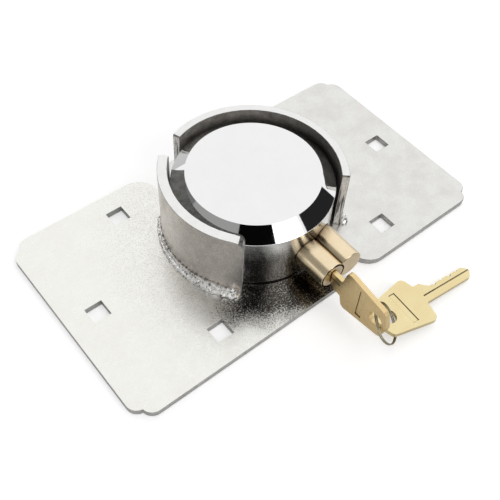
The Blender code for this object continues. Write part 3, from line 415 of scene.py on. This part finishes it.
def zinc_material(name, base, warm, grain_depth, painted_foot_shade=False):
    """Bright zinc plating: grain and soft blotches on top, duller where the steel was cut."""
    material = bpy.data.materials.new(name)
    s = Shader(material)
    grain = s.noise(*GRAIN)
    colour = s.mix(s.span(s.noise(*BLOTCHES), *BLOTCH_SPREAD), base, warm)
    depth = s.span(grain, *GRAIN_SPREAD, 0.0, grain_depth)
    colour = s.mix(depth, colour, toned(base, GRAIN_TONE))
    rough = s.span(s.noise(*GLOSS), *WIDE, *ZINC_ROUGH)
    # Painted shade and reflection at the lock's foot on this plate, with a smoother gloss where
    # it lies
    if painted_foot_shade:
        colour, shade_mask = foot_painted_shade(s, colour)
        smoother = s.math("MULTIPLY", shade_mask, FOOT_SHADE_SMOOTHER)
        rough = s.math("SUBTRACT", rough, smoother, clamp=True)
    streaks = s.noise(*STREAKS, s.scaled(STREAK_STRETCH))
    dull = s.mix(s.span(streaks, *WIDE), CUT_STEEL, toned(CUT_STEEL, CUT_STREAK_TONE))
    colour = s.mix(s.span(s.normal_z(), *PLATE_FACES_UP), dull, colour)
    colour = s.edge_line(colour, s.math("ABSOLUTE", s.normal_z()), PLATE_EDGE_DARK)
    swells = s.math("MULTIPLY", s.noise(*SWELLS), SWELL_RELIEF)
    height = s.math("ADD", s.math("MULTIPLY", grain, GRAIN_RELIEF), swells)
    s.metal(colour, rough, s.bump(height, *ZINC_RELIEF))
    return material


def foot_painted_shade(s, colour):
    """Painted shade and reflection, dark and speckled, on the plate along the lock's open foot,
    fading away from it.
    """
    level = s.vector("MULTIPLY", s.place(), LEVEL)
    reach = s.vector("LENGTH", level)
    middle = (math.cos(FOOT_SHADE_MIDDLE), math.sin(FOOT_SHADE_MIDDLE), 0.0)
    along = s.vector("DOT_PRODUCT", s.vector("NORMALIZE", level), middle)
    flecks = s.noise(*FLECKS)
    waves = s.span(s.noise(*FOOT_SHADE_WAVES), *WIDE, -FOOT_SHADE_WAVE, FOOT_SHADE_WAVE)
    fray = s.span(flecks, *FRAY_SPREAD, -FOOT_SHADE_FRAY, FOOT_SHADE_FRAY)
    frayed = s.math("ADD", s.math("ADD", reach, waves), fray)
    away = s.span(frayed, FOOT_SHADE_NEAR, FOOT_SHADE_FAR, 1.0, 0.0)
    fray = s.span(flecks, *FRAY_SPREAD, FOOT_SHADE_FRAY_ROUND, -FOOT_SHADE_FRAY_ROUND)
    turned = s.math("ADD", along, fray)
    inside = s.span(turned, math.cos(FOOT_SHADE_REACH + FOOT_SHADE_FADE), math.cos(FOOT_SHADE_REACH))
    shade_mask = s.math("MULTIPLY", away, inside)
    # Dark speckles, denser towards the lock's foot and thinning out away from it
    thinning = s.span(reach, FOOT_SHADE_NEAR, SPECKLE_FAR, SPECKLE_DEPTH, 0.0)
    speckle = s.math("MULTIPLY", s.span(flecks, *SPECKLE_SPREAD), thinning)
    colour = s.mix(speckle, colour, SPECKLE_TONE)
    # Painted shade and reflection darken the plate here
    colour = s.mix(s.math("MULTIPLY", shade_mask, FOOT_SHADE_DEPTH, clamp=True), colour, FOOT_SHADE_TONE)
    light = s.math("MULTIPLY", shade_mask, s.span(flecks, *FLECK_SPREAD))
    light = s.math("MULTIPLY", light, FLECK_DEPTH, clamp=True)
    return s.mix(light, colour, FLECK_TONE), shade_mask


def wall_material(name, centre, top, outer, inner, end):
    """Bent zinc plated strip in lit and shaded copies of one zinc: painted light on top and on
    its ends, painted shade outside and inside.
    """
    material = bpy.data.materials.new(name)
    s = Shader(material)
    mottle = s.noise(*MOTTLE)
    grain = s.noise(*WALL_GRAIN)
    ribs = s.noise(*RIBS, s.scaled(RIB_STRETCH))
    radial = s.radial(centre)

    def mottled(tone, factor):
        return s.mix(s.span(mottle, *MOTTLE_SPREAD), tone, toned(tone, factor))

    # Painted light high up at the back of the inside, painted shade low down and at the front
    spot = s.parts(s.place())
    upper = s.span(spot["Z"], WALL_DARK_BELOW, WALL_PALE_ABOVE)
    backward = s.span(spot["Y"], 0.0, WALL_BACK, WALL_FRONT_SHARE, 1.0)
    pale = mottled(toned(inner, INNER_PALE), INNER_PALE_MOTTLE_TONE)
    inside = s.mix(
        s.math("MULTIPLY", upper, backward), mottled(inner, INNER_MOTTLE_TONE), pale)
    ribbed = s.mix(s.span(ribs, *RIB_SPREAD), end, toned(end, RIB_TONE))
    colour = s.mix(s.span(radial, *WALL_FACES_IN), inside, ribbed)
    outward = s.span(radial, *WALL_FACES_OUT)
    colour = s.mix(outward, colour, mottled(outer, OUTER_MOTTLE_TONE))
    depth = s.span(grain, *WALL_GRAIN_SPREAD, 0.0, WALL_GRAIN_DEPTH)
    colour = s.mix(depth, colour, toned(outer, WALL_GRAIN_TONE))
    upward = s.span(s.normal_z(), *WALL_FACES_UP)
    colour = s.mix(upward, colour, mottled(top, TOP_MOTTLE_TONE))
    facing = s.math("MAXIMUM", s.math("ABSOLUTE", radial), s.normal_z())
    colour = s.edge_line(colour, facing, WALL_EDGE_DARK)
    rough = s.span(s.noise(*GLOSS), *WIDE, *WALL_ROUGH)
    rough = s.math("ADD", rough, s.span(radial, *WALL_FACES_OUT, INSIDE_ROUGHER, 0.0))
    mottles = s.math("MULTIPLY", mottle, MOTTLE_RELIEF)
    height = s.math("ADD", s.math("MULTIPLY", grain, GRAIN_RELIEF), mottles)
    s.metal(colour, rough, s.bump(height, *WALL_RELIEF))
    return material


def weld_material(name):
    """Spattered weld metal: bright crests of painted highlight and dark brown hollows of painted
    shade.
    """
    material = bpy.data.materials.new(name)
    s = Shader(material)
    lumps = s.noise(*WELD_LUMPS)
    # Painted highlights on the lumps' crests and painted shade in their hollows, following the
    # relief
    colour = s.mix(s.span(lumps, *WELD_HIGHLIGHT_SPREAD), WELD_HOLLOW_SHADE, WELD_CREST_HIGHLIGHT)
    dull = s.span(s.noise(*WELD_SCALE), *WELD_SCALE_SPREAD, 0.0, WELD_DULL_DEPTH)
    colour = s.mix(dull, colour, WELD_DULL)
    rough = s.span(s.noise(*WELD_GLOSS), *WIDE, *WELD_ROUGH)
    s.metal(colour, rough, s.bump(lumps, *WELD_RELIEF))
    return material


def mirror_material(name, colour):
    """Polished steel: buffing marks in the gloss, almost none in the height, duller sides."""
    material = bpy.data.materials.new(name)
    s = Shader(material)
    marks = s.noise(*BUFF_MARKS, s.scaled(BUFF_STRETCH))
    tone = s.mix(s.span(s.noise(*HAZE), *WIDE), colour, toned(colour, HAZE_TONE))
    brushed = s.span(s.noise(*SIDE_GLOSS), *WIDE, *SIDE_ROUGHER)
    upright = s.span(s.math("ABSOLUTE", s.normal_z()), *UPRIGHT, 1.0, 0.0)
    rough = s.span(marks, *WIDE, *PUCK_ROUGH)
    rough = s.math("ADD", rough, s.math("MULTIPLY", upright, brushed))
    s.metal(tone, rough, s.bump(marks, *PUCK_RELIEF))
    return material


def metal_material(name, light, dark, rough, grain_scale, bump=0.1, crevice_shade=None, shade=None):
    """Machined metal: two close tones, fine grain and uneven gloss.

    Painted shade lies in narrow grooves and in wide hollows, where they are wanted.
    """
    material = bpy.data.materials.new(name)
    s = Shader(material)
    tone = s.noise(grain_scale * METAL_TONE_SHARE, *METAL_TONE)
    grain = s.noise(grain_scale, *METAL_GRAIN)
    colour = s.mix(s.span(tone, *METAL_SPREAD), light, dark)
    if shade:
        colour = s.mix(s.span(s.openness(SHADE_REACH), *SHADE_SPREAD), shade, colour)
    # Painted shade in narrow grooves, darker where little stands free round a point
    if crevice_shade:
        colour = s.mix(s.span(s.openness(CREVICE_SHADE_REACH), *CREVICE_SHADE_SPREAD), crevice_shade, colour)
    s.metal(colour, s.span(grain, *WIDE, *rough), s.bump(grain, bump, METAL_RELIEF))
    return material


# Mesh helpers
def new_object(name, data):
    obj = bpy.data.objects.new(name, data)
    bpy.context.scene.collection.objects.link(obj)
    return obj


def formed_piece(name, form):
    """A new piece from a finished bmesh, which is freed."""
    mesh = bpy.data.meshes.new(name)
    form.to_mesh(mesh)
    form.free()
    return new_object(name, mesh)


def apply_modifiers(obj):
    """Make the evaluated shape the object's own mesh."""
    bpy.context.view_layer.update()
    depsgraph = bpy.context.evaluated_depsgraph_get()
    mesh = bpy.data.meshes.new_from_object(obj.evaluated_get(depsgraph))
    obj.modifiers.clear()
    old = obj.data
    obj.data = mesh
    bpy.data.meshes.remove(old)


def crisp(obj, angle):
    """Shade smoothly over edges blunter than an angle, the large faces leading.

    So flat faces stay flat, and a broken edge alone looks rounded.
    """
    mesh = obj.data
    mesh.shade_smooth()
    around = [[] for _ in mesh.vertices]
    for face in mesh.polygons:
        for vertex in face.vertices:
            around[vertex].append((face.normal.copy(), face.area))
    limit = math.cos(math.radians(angle))
    normals = [Vector()] * len(mesh.loops)
    for face in mesh.polygons:
        for loop, vertex in zip(face.loop_indices, face.vertices):
            total = Vector()
            for normal, area in around[vertex]:
                if normal.dot(face.normal) > limit:
                    total += normal * area
            known = total.length > 0.0
            normals[loop] = total.normalized() if known else face.normal.copy()
    mesh.normals_split_custom_set(normals)


def bevelled(obj, width, segments, angle):
    modifier = obj.modifiers.new("edge", "BEVEL")
    modifier.width = width
    modifier.segments = segments
    modifier.limit_method = "ANGLE"
    modifier.angle_limit = math.radians(angle)
    modifier.harden_normals = False
    modifier.use_clamp_overlap = True
    apply_modifiers(obj)


def cleaned_copy(node, name):
    """A copy of a frame node's mesh with its triangles merged back into flat faces."""
    form = bmesh.new()
    form.from_mesh(NODES[node].data)
    bmesh.ops.remove_doubles(form, verts=form.verts, dist=MERGE_COPIED)
    bmesh.ops.dissolve_limit(
        form, angle_limit=math.radians(FLAT_ANGLE), verts=form.verts, edges=form.edges,
        use_dissolve_boundaries=False,
    )
    return formed_piece(name, form)


def wear(obj, material):
    """Give an object one material in the place of those it has."""
    obj.data.materials.clear()
    obj.data.materials.append(material)


def dress(obj, material, body, node):
    """Give a piece its material and its body, and let it stand for a CAD node."""
    wear(obj, material)
    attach(obj, body)
    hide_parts(node)


def refined(node, name, material, body, width, segments=3, angle=BROKEN_ANGLE):
    """A frame node with its edges broken and shaded as metal."""
    obj = cleaned_copy(node, name)
    bevelled(obj, width, segments, angle)
    crisp(obj, SHARP_ANGLE)
    dress(obj, material, body, node)


def lathe(name, profile):
    """Turn a profile of (radius, height), outer side from top to bottom, about Z."""
    mesh = bpy.data.meshes.new(name)
    edges = [(i, i + 1) for i in range(len(profile) - 1)]
    mesh.from_pydata([(r, 0.0, h) for r, h in profile], edges, [])
    obj = new_object(name, mesh)
    screw = obj.modifiers.new("turn", "SCREW")
    screw.steps = TURN_STEPS
    screw.render_steps = TURN_STEPS
    screw.use_merge_vertices = True
    screw.merge_threshold = MERGE_TURNED
    screw.use_smooth_shade = False
    apply_modifiers(obj)
    return obj


def rounded_profile(corners):
    """Round the inner corners of a turned profile by a small radius."""
    points = [corners[0]]
    for before, here, after in zip(corners, corners[1:], corners[2:]):
        b = (Vector(before) - Vector(here)).normalized()
        a = (Vector(after) - Vector(here)).normalized()
        reach = CORNER_ROUND / math.tan(b.angle(a) / 2)
        start = Vector(here) + b * reach
        end = Vector(here) + a * reach
        for i in range(CORNER_STEPS + 1):
            t = i / CORNER_STEPS
            point = start * (1 - t) ** 2 + Vector(here) * 2 * t * (1 - t) + end * t ** 2
            points.append((point.x, point.y))
    points.append(corners[-1])
    return points


def drawn(name, outline, y0, y1):
    """A solid from an outline in X and Z, drawn out along Y."""
    form = bmesh.new()
    face = form.faces.new([form.verts.new((x, y0, z)) for x, z in outline])
    grown = bmesh.ops.extrude_face_region(form, geom=[face])
    moved = [item for item in grown["geom"] if isinstance(item, bmesh.types.BMVert)]
    bmesh.ops.translate(form, vec=(0.0, y1 - y0, 0.0), verts=moved)
    bmesh.ops.recalc_face_normals(form, faces=form.faces)
    return formed_piece(name, form)


def barrels_outline(radius, steps):
    """Outline of the two barrels side by side."""
    spread = math.acos((PIN_BARREL_X - PLUG_X) / 2 / radius)
    sweep = math.tau - 2 * spread
    points = []
    for centre, first in ((PLUG_X, spread), (PIN_BARREL_X, math.pi + spread)):
        for i in range(steps):
            angle = first + sweep * i / steps
            across, up = radius * math.cos(angle), radius * math.sin(angle)
            points.append((centre + across, CYLINDER_Z + up))
    return points


# Cutting
def cut(obj, tool):
    """Cut one mesh out of another and remove the tool."""
    modifier = obj.modifiers.new("cut", "BOOLEAN")
    modifier.operation = "DIFFERENCE"
    modifier.solver = "EXACT"
    modifier.object = tool
    apply_modifiers(obj)
    bpy.data.objects.remove(tool, do_unlink=True)


def cut_box(obj, low, high):
    """Cut a plain box out of a piece."""
    form = bmesh.new()
    bmesh.ops.create_cube(form, size=1.0)
    low, high = Vector(low), Vector(high)
    bmesh.ops.scale(form, vec=high - low, verts=form.verts)
    bmesh.ops.translate(form, vec=(low + high) / 2, verts=form.verts)
    cut(obj, formed_piece("box_tool", form))


def cut_rod(obj, start, end, radius):
    """Cut a round rod between two points out of a piece."""
    start, end = Vector(start), Vector(end)
    form = bmesh.new()
    bmesh.ops.create_cone(
        form, cap_ends=True, segments=ROD_STEPS, radius1=radius, radius2=radius,
        depth=(end - start).length)
    turn = (end - start).to_track_quat("Z", "X").to_matrix().to_4x4()
    matrix = Matrix.Translation((start + end) / 2) @ turn
    bmesh.ops.transform(form, matrix=matrix, verts=form.verts)
    cut(obj, formed_piece("rod_tool", form))


def bore(obj, x, start, end, radius):
    """Bore a piece along Y at the height of the cylinder's axis."""
    cut_rod(obj, (x, start, CYLINDER_Z), (x, end, CYLINDER_Z), radius)


# Pieces
def make_materials():
    return {
        # The left plate carries painted shade and reflection at the lock's foot
        "zinc_left": zinc_material(
            "zinc_left", base=(0.95, 0.95, 0.91), warm=(0.93, 0.92, 0.87), grain_depth=0.20,
            painted_foot_shade=True),
        # Painted shade: the right plate's zinc is a darker copy of the left plate's
        "zinc_right": zinc_material(
            "zinc_right", base=(0.85, 0.85, 0.82), warm=(0.78, 0.76, 0.73), grain_depth=0.34),
        # The walls' top, outer, inner and end tones are lit and shaded copies of one zinc:
        # painted light and shade
        "wall_left": wall_material(
            "wall_left", centre=(LEFT_WALL_CENTRE, 0.0, 0.0), top=(1.0, 1.0, 0.985),
            outer=(0.86, 0.81, 0.76), inner=(0.100, 0.100, 0.096), end=(0.95, 0.94, 0.92)),
        "wall_right": wall_material(
            "wall_right", centre=(0.0, 0.0, 0.0), top=(0.99, 0.99, 0.98),
            outer=(0.50, 0.48, 0.45), inner=(0.120, 0.113, 0.104), end=(0.97, 0.95, 0.92)),
        "weld": weld_material("weld_metal"),
        "polished": mirror_material("polished_steel", colour=(0.91, 0.91, 0.91)),
        # The brass and key tones take painted shade in their grooves and hollows
        "brass": metal_material(
            "brass", light=(0.92, 0.77, 0.54), dark=(0.88, 0.72, 0.48), rough=(0.20, 0.24),
            grain_scale=300.0, bump=0.0, crevice_shade=(0.06, 0.035, 0.02), shade=(0.16, 0.09, 0.035)),
        "key": metal_material(
            "dull_brass", light=(0.88, 0.68, 0.36), dark=(0.85, 0.64, 0.33),
            rough=(0.26, 0.32), grain_scale=300.0, bump=0.01, crevice_shade=(0.07, 0.04, 0.015)),
        "spare": metal_material(
            "pale_brass", light=(0.90, 0.77, 0.45), dark=(0.86, 0.72, 0.40),
            rough=(0.22, 0.28), grain_scale=300.0, bump=0.01, crevice_shade=(0.06, 0.04, 0.015)),
        "ring": metal_material(
            "ring_wire", light=(0.50, 0.47, 0.34), dark=(0.30, 0.28, 0.19),
            rough=(0.12, 0.25), grain_scale=1200.0),
        "steel": metal_material(
            "plain_steel", light=(0.60, 0.60, 0.60), dark=(0.50, 0.50, 0.50),
            rough=(0.25, 0.4), grain_scale=900.0),
        "spring": metal_material(
            "spring_wire", light=(0.46, 0.46, 0.47), dark=(0.36, 0.36, 0.37),
            rough=(0.2, 0.35), grain_scale=1500.0),
    }


def make_hasp(m):
    refined("hasp_plate_left", "plate_left", m["zinc_left"], "root", PLATE_EDGE)
    refined("hasp_plate_right", "plate_right", m["zinc_right"], "root", PLATE_EDGE)
    refined("shroud_left", "wall_left", m["wall_left"], "root", WALL_EDGE)
    refined("shroud_right", "wall_right", m["wall_right"], "root", WALL_EDGE)


def weld(name, node, material, centre_x, wall_radius, start, end, width_at):
    """Two strands of lumpy weld metal along the foot of a wall, as one closed piece."""
    length = wall_radius * abs(end - start)
    steps = round(length / BEAD_STEP)
    form = bmesh.new()
    rows = []
    for i in range(steps + 1):
        share = i / steps
        angle = start + (end - start) * share
        run = length * share
        taper = min(1.0, BEAD_END_SHARE + min(run, length - run) / BEAD_END_RUN)
        width = width_at(share) * taper
        out = Vector((math.cos(angle), math.sin(angle), 0.0))
        foot = Vector((centre_x, 0.0, PLATE_TOP)) + out * wall_radius
        row = [form.verts.new(foot + out * -BEAD_SINK + Vector((0.0, 0.0, -BEAD_SINK)))]
        for j in range(BEAD_SECTION + 1):
            turn = math.pi / 2 * j / BEAD_SECTION
            across, up = math.cos(turn), math.sin(turn)
            strand = math.cos((turn - STRAND_FIRST) * math.pi / STRAND_APART) ** 2
            phase = 0.0 if turn < math.pi / 4 else 0.5
            wave = math.sin(math.pi * (run / BEAD_RIPPLE_PITCH + phase))
            spot = foot + out * width * across + Vector((0.0, 0.0, width * up))
            lump = BEAD_LUMP * (BEAD_LUMP_TOP + (1.0 - BEAD_LUMP_TOP) * across)
            lump *= noise.fractal(spot * BEAD_LUMP_SCALE, *FRACTAL)
            size = width * (1.0 - STRAND_SHARE + STRAND_SHARE * strand)
            size += BEAD_RIPPLE * abs(wave) + lump
            if j in (0, BEAD_SECTION):
                size = width * BEAD_FOOT_SHARE + lump
            size = max(size, BEAD_LEAST)
            rise = Vector((0.0, 0.0, max(size * up, -BEAD_SINK)))
            row.append(form.verts.new(foot + out * size * across + rise))
        rows.append(row)
    for low, high in zip(rows, rows[1:]):
        for i in range(len(low)):
            j = (i + 1) % len(low)
            form.faces.new((low[i], low[j], high[j], high[i]))
    form.faces.new(rows[0])
    form.faces.new(list(reversed(rows[-1])))
    bmesh.ops.recalc_face_normals(form, faces=form.faces)
    obj = formed_piece(name, form)
    crisp(obj, SHARP_WELD)
    dress(obj, material, "root", node)


def make_welds(m):
    def left_width(share):
        grown = min(1.0, share * LEFT_BEAD_GROWTH) ** LEFT_BEAD_CURVE
        return BEAD_THIN + (BEAD_THICK - BEAD_THIN) * grown

    def right_width(share):
        left_over = max(0.0, 1.0 - share * RIGHT_BEAD_DROP)
        return BEAD_THIN + (BEAD_THICK - BEAD_THIN) * left_over + RIGHT_BEAD_MORE

    weld("weld_left", "weld_bead_left", m["weld"], LEFT_WALL_CENTRE, LEFT_WALL_OUTSIDE,
         *LEFT_BEAD, left_width)
    weld("weld_right", "weld_bead_right", m["weld"], 0.0, RIGHT_WALL_OUTSIDE,
         *RIGHT_BEAD, right_width)


def make_puck(m):
    """The polished puck, with its bores and the recess for the two eyes."""
    top = BODY_HIGH.z
    foot = BODY_LOW.z
    corners = [
        (0.0, top),
        (DISC_RADIUS, top),
        (BODY_RADIUS, top - CHAMFER_HEIGHT),
        (BODY_RADIUS, foot + FOOT_CHAMFER),
        (BODY_RADIUS - FOOT_CHAMFER, foot),
        (0.0, foot),
    ]
    puck = lathe("puck_shell", rounded_profile(corners))
    cut_box(puck, (EYE_LOW.x - EYE_ROOM, EYE_LOW.y - EYE_ROOM, foot - OVER),
            (EYE_HIGH.x + EYE_ROOM, EYE_HIGH.y + EYE_ROOM, EYE_HIGH.z + EYE_ROOM_ABOVE))
    bore_end = EYE_LOW.y - EYE_ROOM - BORE_END_WALL
    outline = barrels_outline(BARREL_RADIUS + RUNNING, BORE_STEPS)
    cut(puck, drawn("bore_tool", outline, -BODY_RADIUS - OVER, bore_end))
    bore(puck, PLUG_X, bore_end - OVER, BOLT_TRAVEL_END, BOLT_RADIUS + RUNNING)
    bore(puck, SPRING_X, bore_end - OVER, SPRING_HIGH.y + RUNNING, SPRING_BORE)
    pin_x, pin_y = (STOP_LOW.x + STOP_HIGH.x) / 2, (STOP_LOW.y + STOP_HIGH.y) / 2
    pin_radius = (STOP_HIGH.x - STOP_LOW.x) / 2 + RUNNING
    cut_rod(puck, (pin_x, pin_y, foot - OVER), (pin_x, pin_y, STOP_HIGH.z + RUNNING), pin_radius)
    for shift in (0.0, CYLINDER_TRAVEL):
        cut_box(puck, (LATCH_LOW.x - LATCH_THROW - RUNNING, LATCH_LOW.y - RUNNING + shift,
                       LATCH_LOW.z - RUNNING),
                (PLUG_X, LATCH_HIGH.y + RUNNING + shift, LATCH_HIGH.z + RUNNING))
    crisp(puck, SHARP_PUCK)
    dress(puck, m["polished"], "root", "lock_body")


def round_barrels(shell):
    """Shade the barrels' outsides as true rounds, and every other face by itself."""
    mesh = shell.data
    mesh.shade_smooth()
    normals = [Vector()] * len(mesh.loops)
    for face in mesh.polygons:
        for i in face.loop_indices:
            spot = mesh.vertices[mesh.loops[i].vertex_index].co
            normals[i] = face.normal.copy()
            for centre in (PLUG_X, PIN_BARREL_X):
                out = Vector((spot.x - centre, 0.0, spot.z - CYLINDER_Z))
                outside = abs(out.length - BARREL_RADIUS) < CLOSE
                if outside and face.normal.dot(out.normalized()) > ROUND_ENOUGH:
                    normals[i] = out.normalized()
    mesh.normals_split_custom_set(normals)


def make_cylinder(m):
    """The two brass barrels, bored and slotted for all that moves in them, and the plug."""
    outline = barrels_outline(BARREL_RADIUS, BARREL_STEPS)
    shell = drawn("barrels", outline, FACE_Y, SHELL_HIGH.y)
    form = bmesh.new()
    form.from_mesh(shell.data)
    rim = [e for e in form.edges if all(abs(v.co.y - FACE_Y) < CLOSE for v in e.verts)]
    bmesh.ops.bevel(
        form, geom=rim, offset=FACE_EDGE, segments=FACE_EDGE_STEPS,
        profile=FACE_EDGE_PROFILE, affect="EDGES")
    form.to_mesh(shell.data)
    form.free()
    clip_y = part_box("plug_clip")[0].y - RUNNING
    bores = (
        (FACE_Y - OVER, FACE_Y + MOUTH_DEPTH, PLUG_RIM_RADIUS + MOUTH_WIDTH),
        (FACE_Y - OVER, FACE_Y + PLUG_RIM_DEPTH, PLUG_RIM_RADIUS + RUNNING),
        (FACE_Y, clip_y - WEB_THICKNESS, PLUG_BODY_RADIUS + RUNNING),
        (FACE_Y, clip_y + OVER, PLUG_TAIL_RADIUS + RUNNING),
        (clip_y, SHELL_HIGH.y + OVER, CAVITY_RADIUS),
    )
    for start, end, radius in bores:
        bore(shell, PLUG_X, start, end, radius)
    for number in range(1, PIN_COUNT + 1):
        low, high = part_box(f"driver_pin_{number}")
        y = (low.y + high.y) / 2
        radius = (high.y - low.y) / 2 + PIN_ROOM
        cut_rod(shell, (PLUG_X, y, CYLINDER_Z), (SHELL_HIGH.x + OVER, y, CYLINDER_Z), radius)
    cut_box(shell, (SHELL_LOW.x - OVER, LATCH_LOW.y - RUNNING, LATCH_LOW.z - RUNNING),
            (PLUG_X, LATCH_HIGH.y + RUNNING, LATCH_HIGH.z + RUNNING))
    y = (LATCH_LOW.y + LATCH_HIGH.y) / 2
    cut_rod(shell, (PLUG_X, y, CYLINDER_Z), (PLUG_X + LATCH_SPRING_END, y, CYLINDER_Z),
            LATCH_SPRING_BORE)
    bore(shell, SPRING_X, SPRING_LOW.y - RUNNING, SHELL_HIGH.y + OVER, SPRING_BORE)
    cut_box(shell, (STOP_LOW.x - RUNNING, STOP_LOW.y - CYLINDER_TRAVEL - RUNNING,
                    SHELL_LOW.z - OVER),
            (STOP_HIGH.x + RUNNING, STOP_HIGH.y + RUNNING, STOP_HIGH.z + RUNNING))
    round_barrels(shell)
    dress(shell, m["brass"], "cylinder", "cylinder_shell")
    refined("plug", "plug_core", m["brass"], "plug", PLUG_EDGE,
            segments=2, angle=BROKEN_ANGLE_BRASS)


def make_spring(m):
    """The return spring, copied with a mesh of its own; in the real lock it shortens against the
    body as the cylinder goes in.
    """
    spring = cleaned_copy("return_spring", "return_coil")
    crisp(spring, SHARP_WIRE)
    dress(spring, m["spring"], "cylinder", "return_spring")
    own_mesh(spring)


def make_keys(m):
    refined("key", "key_in_plug", m["key"], "plug", KEY_EDGE,
            angle=BROKEN_ANGLE_BRASS)
    refined("spare_key", "second_key", m["spare"], "spare", KEY_EDGE,
            angle=BROKEN_ANGLE_BRASS)
    ring = cleaned_copy("key_ring", "split_ring")
    crisp(ring, SHARP_WIRE)
    dress(ring, m["ring"], "ring", "key_ring")


def carry_over(m):
    """Materials for the nodes that stay as they are, by their slots."""
    looks = {
        "steel": "steel", "spring_steel": "spring", "brass": "brass",
        "dark_steel": "ring", "zinc": "wall_left",
    }
    for entry in RECORD["subparts"]:
        look = looks.get(entry["material_slot"])
        if look:
            wear(NODES[entry["node"]], m[look])


# Studio: a white sky, a pale floor, one lamp and round cards that the polished steel mirrors
def sky_direction(azimuth, elevation):
    """A direction in the sky; azimuth counts from +X towards +Y, in degrees."""
    a, e = math.radians(azimuth), math.radians(elevation)
    return (math.cos(a) * math.cos(e), math.sin(a) * math.cos(e), math.sin(e))


WHITE = (1.0, 1.0, 1.0)
FLOOR_TONE = (0.80, 0.80, 0.80)
FLOOR_GLOW = 0.46
FLOOR_REACH = 3.0
FLOOR_CELLS = 8
FLOOR_DROP = 0.2 * MM
SKY_TONE = (0.97, 0.97, 0.97)
CARD_SOFTNESS = 0.6
LOW_CARD = sky_direction(129.0, 22.5)
LOW_CARD_SPREAD = 18.0
LOW_CARD_TONE = (0.17, 0.17, 0.17)
WALL_CARD = sky_direction(175.0, 40.0)
WALL_CARD_SPREAD = 32.0
WALL_CARD_TONE = (0.33, 0.33, 0.325)
BLACK_CARD = sky_direction(-121.5, 46.0)
BLACK_CARD_SPREAD = 18.6
BLACK_CARD_TONE = (0.002, 0.002, 0.002)
DARK_CARD = sky_direction(-33.0, 21.5)
DARK_CARD_SPREAD = 24.0
DARK_CARD_TONE = (0.018, 0.018, 0.019)
LAMP_PLACE = (0.125, -0.65, 0.60)
LAMP_SIZE = 0.43
LAMP_POWER = 0.95


def make_floor():
    form = bmesh.new()
    bmesh.ops.create_grid(
        form, x_segments=FLOOR_CELLS, y_segments=FLOOR_CELLS, size=FLOOR_REACH)
    floor = formed_piece("floor", form)
    floor.location.z = -FLOOR_DROP
    material = bpy.data.materials.new("floor_white")
    s = Shader(material)
    seen = s.node("ShaderNodeLightPath").outputs["Is Camera Ray"]
    matt = s.node("ShaderNodeBsdfDiffuse", {"Color": FLOOR_TONE})
    glow = s.node("ShaderNodeEmission", {"Color": WHITE, "Strength": FLOOR_GLOW})
    lift = s.node("ShaderNodeMixShader", {0: seen, 2: glow.outputs[0]})
    both = s.node("ShaderNodeAddShader", {0: matt.outputs[0], 1: lift.outputs[0]})
    s.node("ShaderNodeOutputMaterial", {"Surface": both.outputs["Shader"]})
    floor.data.materials.append(material)


def card(s, colour, direction, spread, tone):
    """Hold a round card before the sky: its direction, half-angle in degrees and tone."""
    view = s.node("ShaderNodeTexCoord").outputs["Generated"]
    near = s.vector("DOT_PRODUCT", view, direction)
    edge = math.cos(math.radians(spread + CARD_SOFTNESS))
    return s.mix(s.span(near, edge, math.cos(math.radians(spread))), colour, tone)


def make_world():
    """The sky with its cards for light and reflections, and plain white for the camera."""
    world = bpy.data.worlds.new("studio")
    bpy.context.scene.world = world
    s = Shader(world)
    seen = s.node("ShaderNodeLightPath").outputs["Is Camera Ray"]
    colour = card(s, SKY_TONE, LOW_CARD, LOW_CARD_SPREAD, LOW_CARD_TONE)
    colour = card(s, colour, WALL_CARD, WALL_CARD_SPREAD, WALL_CARD_TONE)
    colour = card(s, colour, BLACK_CARD, BLACK_CARD_SPREAD, BLACK_CARD_TONE)
    colour = card(s, colour, DARK_CARD, DARK_CARD_SPREAD, DARK_CARD_TONE)
    sky = s.node("ShaderNodeBackground", {"Color": colour})
    white = s.node("ShaderNodeBackground", {"Color": WHITE})
    mix = s.node("ShaderNodeMixShader", {0: seen, 1: sky.outputs[0], 2: white.outputs[0]})
    s.node("ShaderNodeOutputWorld", {"Surface": mix.outputs[0]})


def make_lamp():
    lamp = bpy.data.lights.new("key_light", "AREA")
    lamp.shape = "SQUARE"
    lamp.size = LAMP_SIZE
    lamp.energy = LAMP_POWER
    obj = new_object("key_light", lamp)
    obj.location = LAMP_PLACE
    obj.rotation_euler = (-Vector(LAMP_PLACE)).to_track_quat("-Z", "Y").to_euler()


def make_camera():
    camera = bpy.data.cameras.new("camera")
    camera.sensor_width = SENSOR
    camera.lens = FOCAL_PIXELS / IMAGE_PIXELS * SENSOR
    camera.clip_start = CLIP_START
    camera.clip_end = CLIP_END
    obj = new_object("camera", camera)
    back = -CAMERA_FORWARD.normalized()
    right = CAMERA_RIGHT.normalized()
    axes = Matrix((right, back.cross(right), back)).transposed().to_4x4()
    obj.matrix_world = Matrix.Translation(CAMERA_PLACE) @ axes
    bpy.context.scene.camera = obj


make_camera()
MATERIALS = make_materials()
carry_over(MATERIALS)
make_hasp(MATERIALS)
make_welds(MATERIALS)
make_puck(MATERIALS)
make_cylinder(MATERIALS)
make_spring(MATERIALS)
make_keys(MATERIALS)
make_floor()
make_world()
make_lamp()
bpy.context.scene.view_settings.view_transform = "Standard"
